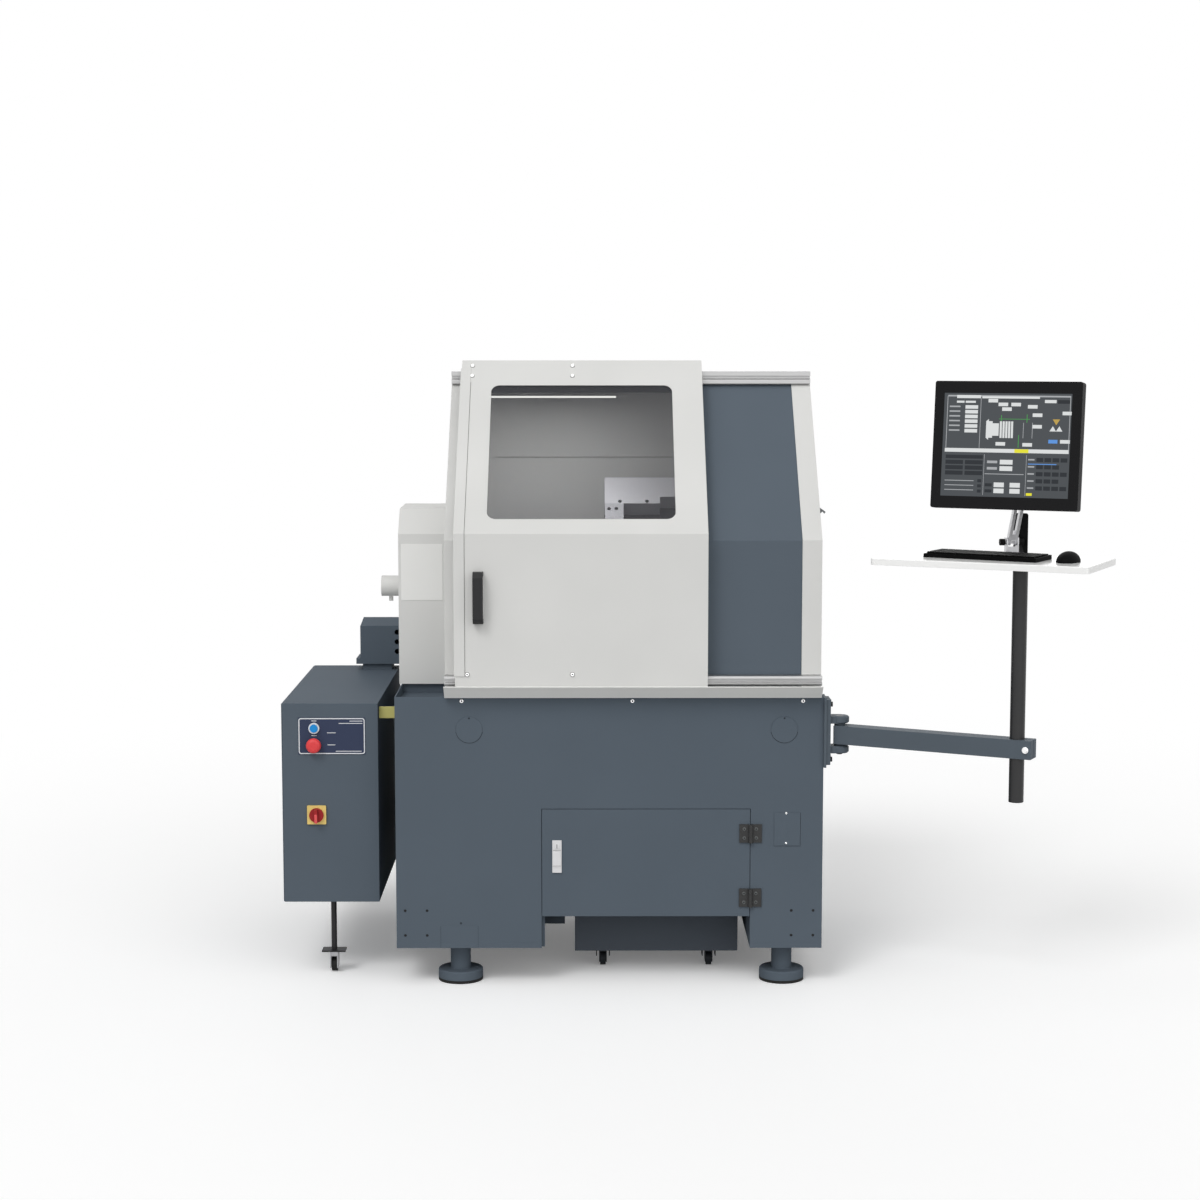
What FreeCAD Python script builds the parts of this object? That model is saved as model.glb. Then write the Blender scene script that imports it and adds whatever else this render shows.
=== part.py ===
import FreeCAD, Part
import math
import os
from types import SimpleNamespace

import Sketcher

# A slant-bed turning lathe on its sheet-metal stand, with the electrical cabinet hung beside it
# and the operator's screen on a swinging arm.
#
# Every piece is drawn in the machine's own frame: X runs to the right from the stand's left side,
# Y to the back from its front, Z up from the floor. The finished nodes are then moved by
# origin_x and origin_y, which puts the origin on the floor under the middle of the whole lathe.
# What lies along the slanted bed is drawn in the bed's frame: x as above, y up the slope and
# z square out of it, from the spindle's axis.

SIZES = {
    # the whole
    "origin_x": 804.5, "origin_y": 226.05, "slant": 45.0, "fit": 0.08, "gap": 0.3,
    "cutter": 60.0,
    # stand
    "base_width": 1180.0, "base_depth": 865.0, "base_bottom": 106.0, "base_top": 811.0,
    "base_sheet": 3.0, "tray_depth": 27.0, "riser_y": 262.0,
    "bay_left": 402.5, "pier_right": 199.5, "bay_top": 499.0, "bay_rear_top": 240.0,
    "jamb_wide": 9.0, "bay_tab_reach": 63.5, "bay_tab_low": 150.0, "bay_tab_tall": 70.0,
    "bay_tab_y": 100.0,
    "foot_inset_left": 173.5, "foot_inset_right": 105.5, "foot_inset_deep": 75.0,
    "foot_plate": 150.0, "foot_plate_thick": 12.0, "foot_radius": 62.5, "foot_flange": 25.0,
    "foot_pad": 8.0, "foot_column_radius": 28.5, "foot_bolt_circle": 46.0, "foot_bolt_radius": 7.0,
    "base_hole_radius": 4.0, "base_hole_inset": 24.5, "base_hole_low": 142.0,
    "base_hole_step_x": 60.5, "base_hole_step_z": 70.0,
    "cover_radius": 36.5, "cover_height": 720.0, "cover_left": 204.5, "cover_inset": 108.5,
    "cover_thick": 2.0, "hatch_inset": 134.5, "hatch_width": 72.0, "hatch_low": 395.0,
    "hatch_tall": 93.0, "rim_screw_left": 184.5, "rim_screw_pitch": 469.0, "rim_screw_drop": 11.0,
    "rim_screw_radius": 4.5, "screw_head": 3.0,
    "ledge_reach": 64.0, "ledge_foot": 20.0, "ledge_height": 36.0, "ledge_sheet": 2.0,
    # enclosure
    "shell_left": 138.5, "shell_inset": 8.5, "shell_front": 5.0, "shell_back": 850.0,
    "shell_bend": 1242.0, "shell_top": 1660.0, "shell_sheet": 3.0,
    "left_post": 46.5, "right_post": 54.0, "panel_sheet": 2.5,
    "entry_lap": 17.5, "sill_top": 875.0, "entry_short": 31.14, "back_seam": 1426.0,
    "rail_size": 36.0, "rail_overhang": 13.0, "guide_low": 845.6, "guide_tall": 26.8,
    "guide_depth": 35.0, "groove": 8.0, "groove_depth": 10.0,
    "light_right": 616.0, "light_length": 436.0, "light_drop": 50.0, "light_tall": 6.0,
    "light_depth": 32.0,
    # headstock cover
    "hood_front": 250.0, "hood_bend": 1239.0, "hood_top": 1307.0, "hood_shoulder": 69.0,
    "hood_ridge": 528.0, "hood_back": 820.0, "hood_lap": 6.5, "hood_sheet": 2.0,
    "pipe_radius": 29.5, "pipe_wall": 3.0, "pipe_length": 63.5, "stub_radius": 6.0,
    "stub_drop": 14.0,
    # bed and headstock
    "spindle_y": 360.0, "spindle_z": 1081.0, "swing": 190.0, "bed_left": 150.0, "bed_clear": 51.5,
    "bed_foot": -200.0, "bed_head": 340.0, "bed_back": 800.0, "bed_wall": 85.0,
    "cavity_foot": -45.0, "cavity_head": 262.0, "web_thick": 14.0,
    "way_width": 20.0, "way_height": 25.0, "low_way": -110.0, "high_way": 190.0, "way_left": 340.0,
    "way_short": 20.0, "screw_y": 40.0, "screw_drop": 16.0, "screw_radius": 8.0,
    "screw_left": 345.0, "bearing_long": 20.0, "bearing_wide": 50.0,
    "drive_long": 95.0, "drive_wide": 90.0,
    "headstock_right": 330.0, "headstock_foot": 110.0, "headstock_crown": 85.0,
    "spindle_radius": 45.0, "spindle_tail_radius": 30.0, "spindle_bore": 17.5, "spindle_left": 8.0,
    "nose_radius": 70.0, "nose_right": 352.0,
    "chuck_radius": 80.0, "chuck_length": 68.0, "chuck_bore": 21.0,
    "jaw_width": 20.0, "jaw_foot_width": 30.0, "jaw_foot": 9.4, "jaw_neck": 14.3,
    "jaw_reach": 35.0, "jaw_inner": 24.0, "jaw_outer": 74.0, "jaw_step": 50.0,
    "pulley_left": 55.0, "pulley_width": 40.0, "spindle_pulley_radius": 65.0,
    "motor_pulley_radius": 38.0, "belt_groove": 3.0, "belt_thick": 4.0, "belt_inset": 3.0,
    "motor_y": 660.0, "motor_z": 880.0, "motor_radius": 72.0, "motor_length": 190.0,
    "motor_flange": 14.0, "motor_step": 5.0, "motor_bell": 30.0, "motor_taper": 22.0,
    "motor_foot_long": 110.0, "motor_foot_wide": 90.0,
    "shaft_radius": 14.0, "shaft_seat": 14.0,
    # carriage and cross slide
    "saddle_clear_right": 105.0, "saddle_width": 260.0, "saddle_foot": -150.0, "saddle_head": 484.0,
    "saddle_thick": 32.0, "saddle_clear": 5.0, "block_long": 70.0, "block_wide": 54.0,
    "nut_long": 50.0, "nut_wide": 44.0,
    "dovetail_base": 100.0, "dovetail_flare": 13.0, "dovetail_tall": 18.0, "dovetail_head": 330.0,
    "drive_cover_wing": 59.0, "drive_cover_foot": 380.0, "drive_cover_step": 26.0,
    "drive_cover_step_in": 167.0, "drive_cover_top": -75.0, "drive_cover_sheet": 2.0,
    "cross_inset": 50.0, "cross_width": 160.0, "cross_foot": -20.0, "cross_long": 220.0,
    "cross_top": -90.0, "post_inset": 85.0, "post_size": 75.0, "post_foot": 100.0, "post_top": 12.0,
    "tool_size": 20.0, "tool_long": 80.0, "tool_overhang": 12.0,
    # sliding door
    "door_left": 170.0, "door_width": 687.5, "door_bottom": 845.0, "door_front": -55.0,
    "door_bend_rise": 22.0, "door_overrun": 63.86, "door_sheet": 2.0, "door_return": 12.0,
    "strip_lap": 2.5, "strip_width": 29.0, "strip_thick": 3.0, "strip_low": 876.0,
    "strip_short": 35.0,
    "window_inset": 86.5, "window_margin": 87.0, "window_low": 53.5, "window_high": 99.0,
    "window_corner": 25.0, "glass_lap": 15.0, "glass_thick": 5.0,
    "handle_inset": 50.5, "handle_width": 28.0, "handle_low": 1022.0, "handle_tall": 140.0,
    "handle_out": 40.0, "handle_bar": 11.0, "handle_chamfer": 14.0,
    "carrier_inset": 10.5, "carrier_pitch": 286.0, "carrier_long": 40.0, "carrier_rise": 10.0,
    # access door
    "hatch_gap": 1.5, "access_low": 194.5, "access_sheet": 2.0, "access_return": 17.0,
    "hinge_wide": 62.0, "hinge_tall": 51.5, "hinge_high": 430.0, "hinge_lower": 249.0,
    "hinge_leaf": 4.0, "hinge_out": 8.0, "knuckle_radius": 6.0, "hinge_pin": 3.0,
    "hinge_slack": 5.0,
    "latch_inset": 30.0, "latch_width": 26.0, "latch_low": 320.0, "latch_tall": 91.0,
    "latch_thick": 4.0,
    # coolant tank
    "tank_clear_left": 91.0, "tank_clear_right": 24.0, "tank_front": 160.0, "tank_depth": 620.0,
    "tank_bottom": 56.0, "tank_top": 186.0, "tank_wall": 2.0, "tank_lid": 200.0,
    "pump_radius": 55.0, "pump_tall": 150.0,
    "tank_wheel_inset_x": 80.0, "tank_wheel_inset_y": 48.0, "wheel_radius": 20.0, "wheel_width": 16.0,
    # electrical cabinet
    "cabinet_gap": 54.5, "cabinet_width": 269.0, "cabinet_front": 90.0, "cabinet_short": 88.0,
    "cabinet_bottom": 216.0, "cabinet_top": 779.0, "cabinet_sheet": 2.0, "cabinet_rim": 20.0,
    "leaf_sheet": 2.7, "leaf_rim": 1.0,
    "lug_thick": 14.0, "lug_wide": 34.0, "lug_inset": 15.0, "lug_low": 300.0, "lug_high": 660.0,
    "lug_pin": 6.0, "side_knuckle": 5.0, "side_pin": 2.5, "side_knuckle_tall": 60.0,
    "plate_left": -276.5, "plate_wide": 187.0, "plate_low": 636.0, "plate_tall": 103.5,
    "plate_thick": 2.0, "button_x": -232.0, "reset_z": 710.0, "stop_z": 663.0, "switch_z": 465.0,
    "switch_x": -227.5, "collar_radius": 15.0, "collar_thick": 6.0, "button_radius": 11.0,
    "button_out": 4.0, "button_stem": 20.0, "mushroom_radius": 21.0, "mushroom_tall": 13.0,
    "mushroom_gap": 8.0, "switch_size": 52.0, "switch_thick": 6.0, "knob_radius": 20.0,
    "knob_thick": 8.0, "knob_grip": 14.0, "knob_grip_wide": 9.0, "knob_shaft": 6.0,
    "box_left": -167.5, "box_right": -14.0, "box_inset": 105.0, "box_depth": 110.0,
    "box_low": 798.0, "box_top": 916.0, "box_flange": 13.0, "box_flange_tall": 17.0,
    "box_wall": 2.0, "box_neck_left": -161.5, "box_neck_wide": 89.0,
    "neck_inset": 10.0, "duct_margin": 15.0, "duct_inset": 25.0, "box_hole_x": -54.5,
    "box_hole_low": 836.5, "box_hole_step": 29.7, "box_hole_radius": 8.0,
    "leg_x": -189.5, "leg_y": 147.0, "leg_radius": 8.0, "leg_plate_wide": 67.0,
    "leg_plate_deep": 45.0, "leg_plate_low": 62.0, "leg_plate_thick": 4.0, "fork_trail": 14.0,
    # arm and pole
    "bracket_back_plate": 7.0, "bracket_plate": 11.5, "bracket_low": 622.0, "bracket_tall": 181.5,
    "bracket_front": -5.0, "bracket_deep": 70.0, "ear_low": 652.0, "ear_high": 735.0,
    "ear_thick": 20.0, "ear_radius": 26.0,
    "ear_bevel": 3.5, "arm_out": 46.5, "arm_y": 30.0, "arm_yaw": -27.3,
    "arm_low": 678.0, "tube_size": 50.8, "tube_wall": 3.0, "arm_length": 505.0, "arm_behind": 9.0,
    "arm_beyond": 45.0, "pivot_radius": 10.0, "pivot_sleeve": 16.0, "pivot_collar": 15.0,
    "pin_head": 11.5, "pin_nose": 7.5, "pin_drop": 5.0, "pole_radius": 20.0,
    "pole_wall": 3.0, "pole_sleeve": 24.0, "pole_low": 558.0, "pole_flange": 48.0,
    "pole_flange_thick": 6.0, "tie_y": 129.0, "tie_low": 732.0, "tie_thick": 3.0, "tie_tall": 32.0,
    "tie_lap": 40.0, "hook_y": 107.0, "hook_top": 1325.0, "hook_thick": 6.0, "hook_out": 17.0,
    "hook_tall": 21.0, "hook_fall": 12.0, "hook_blunt": 3.0, "hook_notch": 9.0,
    # table and screen
    "table_yaw": -26.3, "table_x": -74.7, "table_width": 588.0, "table_depth": 289.0,
    "table_thick": 18.0, "table_top": 1209.0, "table_corner": 10.0, "table_edge": 2.0,
    "keyboard_x": -87.7, "keyboard_y": -12.0, "keyboard_turn": -5.5, "keyboard_width": 316.0,
    "keyboard_depth": 116.0, "keyboard_tall": 10.0, "keyboard_lip": 12.0, "key_tall": 4.0,
    "key_space": 2.6,
    "mouse_x": 133.3, "mouse_y": -21.0, "mouse_long": 105.0, "mouse_wide": 60.0, "mouse_tall": 28.0,
    "stand_yaw": 3.8, "screen_yaw": -24.6, "stand_x": -60.0, "stand_y": 120.0, "stand_foot_wide": 70.0,
    "stand_foot_deep": 48.0, "stand_foot_thick": 5.0, "cheek_thick": 4.0, "cheek_gap": 26.0,
    "cheek_wide": 26.0, "elbow_z": 1243.0, "elbow_pin": 4.0, "link_length": 236.0,
    "link_lean": 34.0, "link_wide": 18.0, "link_thick": 8.0,
    "link_spacer": 20.0, "stand_web_tall": 18.0, "clamp_x": -43.0, "clamp_wide": 40.0, "clamp_thick": 4.0,
    "clamp_top": 1320.0, "clamp_corner": 6.0, "knob_big": 9.0, "knob_long": 14.0,
    "screen_tilt": 6.0, "screen_width": 390.0, "screen_height": 333.0, "screen_deep": 38.0,
    "screen_corner": 6.0, "active_width": 338.0, "active_height": 270.0, "screen_recess": 3.0,
    "lcd_thick": 1.5, "screen_bulge": 22.0,
    "head_back": 60.0, "head_drop": 64.0, "head_side": 31.0, "head_lug": 16.0,
}


class Length(float):
    """A number that also keeps the formula it came from, for the features tied to it."""

    def __new__(cls, value, formula=None):
        made = float.__new__(cls, value)
        made.formula = formula if formula else f"({float(value):.6f})"
        return made

    def __add__(self, other):
        return Length(float(self) + float(other), f"({self.formula} + {formula_of(other)})")

    def __radd__(self, other):
        return Length(float(other) + float(self), f"({formula_of(other)} + {self.formula})")

    def __sub__(self, other):
        return Length(float(self) - float(other), f"({self.formula} - {formula_of(other)})")

    def __rsub__(self, other):
        return Length(float(other) - float(self), f"({formula_of(other)} - {self.formula})")

    def __mul__(self, other):
        return Length(float(self) * float(other), f"({self.formula} * {formula_of(other)})")

    __rmul__ = __mul__

    def __truediv__(self, other):
        return Length(float(self) / float(other), f"({self.formula} / {formula_of(other)})")

    def __neg__(self):
        return Length(-float(self), f"(0 - {self.formula})")


def formula_of(value):
    return value.formula if isinstance(value, Length) else f"({float(value):.6f})"


def sine(angle):
    return Length(math.sin(math.radians(angle)), f"sin({formula_of(angle)})")


def cosine(angle):
    return Length(math.cos(math.radians(angle)), f"cos({formula_of(angle)})")


doc = FreeCAD.newDocument("turning_lathe")
sheet = doc.addObject("Spreadsheet::Sheet", "Size")
for row, (alias, number) in enumerate(SIZES.items(), 1):
    sheet.set(f"A{row}", alias.replace("_", " "))
    sheet.set(f"B{row}", str(number))
    sheet.setAlias(f"B{row}", alias)
doc.recompute()
s = SimpleNamespace(**{alias: Length(number, f"Size.{alias}") for alias, number in SIZES.items()})
nodes = {}

# ---------------------------------------------------------------- places that several pieces share
bay_right = s.base_width - s.pier_right
bay_width = bay_right - s.bay_left
deck = s.base_top - s.tray_depth
shell_right = s.base_width - s.shell_inset
shell_width = shell_right - s.shell_left
slope_reach = (s.shell_top - s.shell_bend) / sine(s.slant)
cover_right = s.base_width - s.cover_inset
hatch_left = s.base_width - s.hatch_inset
bed_right = shell_right - s.bed_clear
way_right = bed_right - s.way_short
screw_right = way_right - s.drive_long
way_top = -s.swing + s.way_height
saddle_low = way_top + s.saddle_clear
saddle_top = saddle_low + s.saddle_thick
screw_z = saddle_low - s.screw_drop
saddle_left = screw_right - s.saddle_clear_right - s.saddle_width
drive_cover_left = saddle_left - s.drive_cover_wing
drive_cover_step_x = drive_cover_left + s.drive_cover_step_in
cross_left = saddle_left + s.cross_inset
post_left = cross_left + s.post_inset
chuck_face = s.nose_right + s.chuck_length
jaw_foot_back = chuck_face - s.jaw_neck - s.jaw_foot
door_right = s.door_left + s.door_width
door_bend = s.shell_bend + s.door_bend_rise
door_slope = slope_reach + s.door_overrun
strip_left = s.door_left - s.strip_lap
strip_slope = door_slope - s.strip_short
window_left = s.door_left + s.window_inset
window_width = s.door_width - s.window_inset - s.window_margin
window_long = door_slope - s.window_low - s.window_high
handle_left = s.door_left + s.handle_inset
carrier_left = s.door_left + s.carrier_inset
entry_right = door_right - s.entry_lap
entry_slope = slope_reach - s.entry_short
hinge_x = bay_right
cabinet_right = -s.cabinet_gap
cabinet_left = cabinet_right - s.cabinet_width
cabinet_depth = s.base_depth - s.cabinet_short
cabinet_back = s.cabinet_front + cabinet_depth
lug_y = s.base_depth - s.lug_inset
box_front = s.base_depth - s.box_inset
tank_left = s.bay_left + s.tank_clear_left
tank_width = bay_width - s.tank_clear_left - s.tank_clear_right
latch_left = s.bay_left + s.latch_inset
arm_x = s.base_width + s.arm_out
pole_x = arm_x + s.arm_length * cosine(s.arm_yaw)
pole_y = s.arm_y + s.arm_length * sine(s.arm_yaw)
table_low = s.table_top - s.table_thick
feet = [(x, y) for x in (s.foot_inset_left, s.base_width - s.foot_inset_right)
        for y in (s.foot_inset_deep, s.base_depth - s.foot_inset_deep)]


def on_slope(y, z):
    """Machine Y and Z of a point y up the bed's slope and z out of it from the spindle's axis."""
    return (s.spindle_y + y * cosine(s.slant) - z * sine(s.slant),
            s.spindle_z + y * sine(s.slant) + z * cosine(s.slant))


# ---------------------------------------------------------------- drawing
def bind(item, path, value):
    item.setExpression(path, formula_of(value))


def place(item, x=0, y=0, z=0, yaw=0, pitch=0, roll=0):
    """Turns an item about its own axes and moves it, all tied to the sheet."""
    spot = "; ".join(formula_of(value) for value in (x, y, z))
    turn = "; ".join(formula_of(value) for value in (yaw, pitch, roll))
    item.setExpression("Placement", f"create(<<placement>>; create(<<vector>>; {spot}); "
                                    f"create(<<rotation>>; {turn}))")
    return item


def node(label, item, x=0, y=0, z=0, yaw=0, roll=0):
    """Names a finished piece and moves it from the machine's frame to the part's."""
    if item.TypeId in ("Part::Box", "Part::Cylinder"):
        item = group(item)
    item.Label = label
    nodes[label] = place(item, x - s.origin_x, y - s.origin_y, z, yaw=yaw, roll=roll)


def slope_node(label, item):
    """Names a finished piece that was drawn in the bed's frame."""
    node(label, item, 0, s.spindle_y, s.spindle_z, roll=s.slant)


def block(x, y, z, dx, dy, dz):
    box = doc.addObject("Part::Box", "Block")
    for path, value in (("Length", dx), ("Width", dy), ("Height", dz)):
        bind(box, path, value)
    return place(box, x, y, z)


AXIS_TURN = {"X": {"pitch": 90}, "Y": {"roll": -90}, "Z": {}}


def rod(axis, x, y, z, radius, length):
    """A cylinder that starts at x, y, z and runs along +axis."""
    made = doc.addObject("Part::Cylinder", "Rod")
    bind(made, "Radius", radius)
    bind(made, "Height", length)
    return place(made, x, y, z, **AXIS_TURN[axis])


def join(*items):
    made = doc.addObject("Part::MultiFuse", "Joined")
    made.Shapes = list(items)
    return made


def cut(base, *tools):
    made = doc.addObject("Part::Cut", "Opened")
    made.Base = base
    made.Tool = tools[0] if len(tools) == 1 else join(*tools)
    return made


def group(*items):
    made = doc.addObject("Part::Compound", "Set")
    made.Links = list(items)
    return made


def draw(sketch, outline, circles=()):
    """Draws a closed outline and round holes, each point tied to its own distances."""
    count = len(outline)
    for index, (x, y) in enumerate(outline):
        after = outline[(index + 1) % count]
        sketch.addGeometry(Part.LineSegment(FreeCAD.Vector(x, y), FreeCAD.Vector(*after)))
    for index in range(count):
        sketch.addConstraint(Sketcher.Constraint("Coincident", index, 2, (index + 1) % count, 1))
    for x, y, radius in circles:
        sketch.addGeometry(Part.Circle(FreeCAD.Vector(x, y), FreeCAD.Vector(0, 0, 1), radius))
    spots = [(index, 1, x, y) for index, (x, y) in enumerate(outline)]
    spots += [(count + index, 3, x, y) for index, (x, y, radius) in enumerate(circles)]
    for index, end, x, y in spots:
        for kind, value in (("DistanceX", x), ("DistanceY", y)):
            at = sketch.addConstraint(Sketcher.Constraint(kind, -1, 1, index, end, float(value)))
            sketch.setExpression(f"Constraints[{at}]", formula_of(value))
    for index, (x, y, radius) in enumerate(circles):
        at = sketch.addConstraint(Sketcher.Constraint("Radius", count + index, float(radius)))
        sketch.setExpression(f"Constraints[{at}]", formula_of(radius))


def new_sketch(body, plane, start, outline, circles=()):
    sketch = body.newObject("Sketcher::SketchObject", "Sketch")
    support = [part for part in body.Origin.OriginFeatures if part.Role == f"{plane}_Plane"][0]
    sketch.AttachmentSupport = [(support, "")]
    sketch.MapMode = "FlatFace"
    bind(sketch, "AttachmentOffset.Base.z", -start if plane == "XZ" else start)
    draw(sketch, outline, circles)
    return sketch


def profile(plane, outline, start, length, circles=()):
    """A body padded from an outline on XY, XZ or YZ, from start along the plane's positive axis."""
    body = doc.addObject("PartDesign::Body", "Body")
    pad = body.newObject("PartDesign::Pad", "Pad")
    pad.Profile = new_sketch(body, plane, start, outline, circles)
    pad.Reversed = plane == "XZ"
    bind(pad, "Length", length)
    body.Tip = pad
    return body


def turned(outline, axis):
    """A body turned from (along, radius) points about X, or from (radius, height) points about Z."""
    body = doc.addObject("PartDesign::Body", "Body")
    sketch = new_sketch(body, "XZ", Length(0), outline)
    made = body.newObject("PartDesign::Revolution", "Revolution")
    made.Profile = sketch
    made.ReferenceAxis = (sketch, ["H_Axis" if axis == "X" else "V_Axis"])
    body.Tip = made
    return body


def soften(body, radius, wanted, kind="Fillet"):
    """Rounds or bevels the edges that wanted picks from a body."""
    doc.recompute()
    base = body.Tip
    picked = [f"Edge{index}" for index, edge in enumerate(base.Shape.Edges, 1) if wanted(edge)]
    made = body.newObject(f"PartDesign::{kind}", kind)
    made.Base = (base, picked)
    bind(made, "Radius" if kind == "Fillet" else "Size", radius)
    body.Tip = made
    return body


def along(x, y, z):
    """Picks the straight edges that run along a direction."""
    way = FreeCAD.Vector(x, y, z)

    def wanted(edge):
        straight = edge.Curve.TypeId == "Part::GeomLine"
        return straight and abs(edge.tangentAt(edge.FirstParameter).dot(way)) > 0.999
    return wanted


def oblong(x, y, z, dx, dy, dz, radius):
    """A plate with its four upright corners rounded."""
    corners = [(x, y), (x + dx, y), (x + dx, y + dy), (x, y + dy)]
    return soften(profile("XY", corners, z, dz), radius, along(0, 0, 1))


def leaned(front, low, bend, reach, near, far):
    """Outline in Y and Z of a sheet that stands up to its bend and leans back by the slant.

    near and far are how deep its two faces lie behind the front given.
    """
    lean = (1 - sine(s.slant)) / cosine(s.slant)

    def face(depth):
        top = (front + reach * cosine(s.slant) + depth * sine(s.slant),
               bend + reach * sine(s.slant) - depth * cosine(s.slant))
        return [(front + depth, low), (front + depth, bend - depth * lean), top]
    return face(near) + face(far)[::-1]


# ---------------------------------------------------------------- stand
def base_cabinet():
    """Folded and welded stand: two closed pedestals, an open bay between them and a chip tray."""
    wall = s.base_sheet
    tall = s.base_top - s.base_bottom
    deep = s.base_depth - 2 * wall

    def face(bay_top):
        return [(Length(0), s.base_bottom), (s.bay_left, s.base_bottom), (s.bay_left, bay_top),
                (bay_right, bay_top), (bay_right, s.base_bottom), (s.base_width, s.base_bottom),
                (s.base_width, s.base_top), (Length(0), s.base_top)]
    holes = [(x + side, z, s.base_hole_radius)
             for side, step in ((s.base_hole_inset, s.base_hole_step_x),
                                (s.base_width - s.base_hole_inset, -s.base_hole_step_x))
             for x in (Length(0), step)
             for z in (s.base_hole_low, s.base_hole_low + s.base_hole_step_z)]
    front = profile("XZ", face(s.bay_top), Length(0), wall, holes)
    back = profile("XZ", face(s.bay_rear_top), s.base_depth - wall, wall)
    sides = [block(x, wall, s.base_bottom, wall, deep, tall) for x in (0, s.base_width - wall)]
    piers = [block(x, wall, s.base_bottom, wall, deep, s.bay_top - s.base_bottom + wall)
             for x in (s.bay_left - wall, bay_right)]
    jamb = block(s.bay_left - 1, s.access_return + s.gap, s.base_bottom, s.jamb_wide + 1,
                 s.access_sheet, s.bay_top - s.base_bottom + 1)
    tab = block(s.bay_left - 1, s.bay_tab_y, s.bay_tab_low, s.bay_tab_reach + 1, wall,
                s.bay_tab_tall)
    roof = block(s.bay_left, wall, s.bay_top, bay_width, deep, wall)
    tray = block(wall, wall, deck - wall, s.base_width - 2 * wall, deep, wall)
    riser = block(wall - 1, s.riser_y, deck - 1, s.shell_left - wall + 1, wall, s.tray_depth + 1)
    half = s.foot_plate / 2 - wall
    seats = [block(x - half, y - half, s.base_bottom, 2 * half, 2 * half, s.foot_plate_thick)
             for x, y in feet]
    node("base_cabinet", join(front, back, *sides, *piers, jamb, tab, roof, tray, riser, *seats))


def levelling_foot(x, y):
    """Turned column on a round flange with six bolt recesses."""
    top = s.foot_pad + s.foot_flange
    bevel = 3
    outline = [(Length(0), s.foot_pad), (s.foot_radius, s.foot_pad), (s.foot_radius, top - bevel),
               (s.foot_radius - bevel, top), (s.foot_column_radius, top),
               (s.foot_column_radius, s.base_bottom), (Length(0), s.base_bottom)]
    body = turned(outline, "Z")
    pocket = body.newObject("PartDesign::Pocket", "Recess")
    pocket.Profile = new_sketch(body, "XY", top, [], [(s.foot_bolt_circle, Length(0),
                                                       s.foot_bolt_radius)])
    pocket.Length = 8
    pattern = body.newObject("PartDesign::PolarPattern", "Recesses")
    pattern.Originals = [pocket]
    pattern.Axis = (body.Tip.Profile[0], ["V_Axis"])
    pattern.Angle = 360
    pattern.Occurrences = 6
    body.Tip = pattern
    return place(body, x, y)


def levelling_feet():
    node("levelling_feet", group(*[levelling_foot(x, y) for x, y in feet]))
    node("foot_pads", group(*[rod("Z", x, y, 0, s.foot_radius, s.foot_pad) for x, y in feet]))


def cover_plates():
    """Two round blanking covers and one small hatch on the stand's front."""
    discs = [rod("Y", x, -s.cover_thick, s.cover_height, s.cover_radius, s.cover_thick)
             for x in (s.cover_left, cover_right)]
    hatch = block(hatch_left, -s.cover_thick, s.hatch_low, s.hatch_width, s.cover_thick,
                  s.hatch_tall)
    node("cover_plates", group(*discs, hatch))


def drip_ledge():
    """Folded lip under the door: a flange on the stand's rim and a wall that leans out."""
    thick = s.ledge_sheet
    outline = [(-s.ledge_foot, s.base_top), (-s.ledge_reach, s.base_top + s.ledge_height),
               (thick - s.ledge_reach, s.base_top + s.ledge_height + thick),
               (thick / 2 - s.ledge_foot, s.base_top + thick),
               (s.shell_front - s.gap, s.base_top + thick), (s.shell_front - s.gap, s.base_top)]
    node("drip_ledge", profile("YZ", outline, s.shell_left, shell_width))


# ---------------------------------------------------------------- enclosure
def shell_side(x, post_x, post_width, holes=()):
    """One end wall with the folded post at its front."""
    roof_front = s.shell_front + slope_reach * cosine(s.slant)
    outline = [(s.shell_front, deck), (s.shell_front, s.shell_bend), (roof_front, s.shell_top),
               (s.shell_back, s.shell_top), (s.shell_back, deck)]
    wall = profile("YZ", outline, x, s.shell_sheet, holes)
    fold = leaned(s.shell_front, deck, s.shell_bend, slope_reach, Length(0), s.shell_sheet)
    return join(wall, profile("YZ", fold, post_x, post_width))


def enclosure():
    passages = [(s.spindle_y, s.spindle_z, s.spindle_radius + 10),
                (s.motor_y, s.motor_z, s.shaft_radius + 6)]
    node("enclosure_left_side", shell_side(s.shell_left, s.shell_left, s.left_post, passages))
    node("enclosure_right_side", shell_side(shell_right - s.shell_sheet,
                                            shell_right - s.right_post, s.right_post))
    sheet_in = s.shell_sheet
    clear = shell_width - 2 * sheet_in
    roof_front = s.shell_front + slope_reach * cosine(s.slant) + 8
    outline = [(s.shell_back - sheet_in, deck), (s.shell_back, deck), (s.shell_back, s.shell_top),
               (roof_front, s.shell_top), (roof_front, s.shell_top - sheet_in),
               (s.shell_back - sheet_in, s.shell_top - sheet_in)]
    back = profile("YZ", outline, s.shell_left + sheet_in, clear)
    seam = block(s.shell_left, s.shell_back - sheet_in - 1, s.back_seam, shell_width, 2, 2)
    node("enclosure_back", cut(back, seam))


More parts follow.
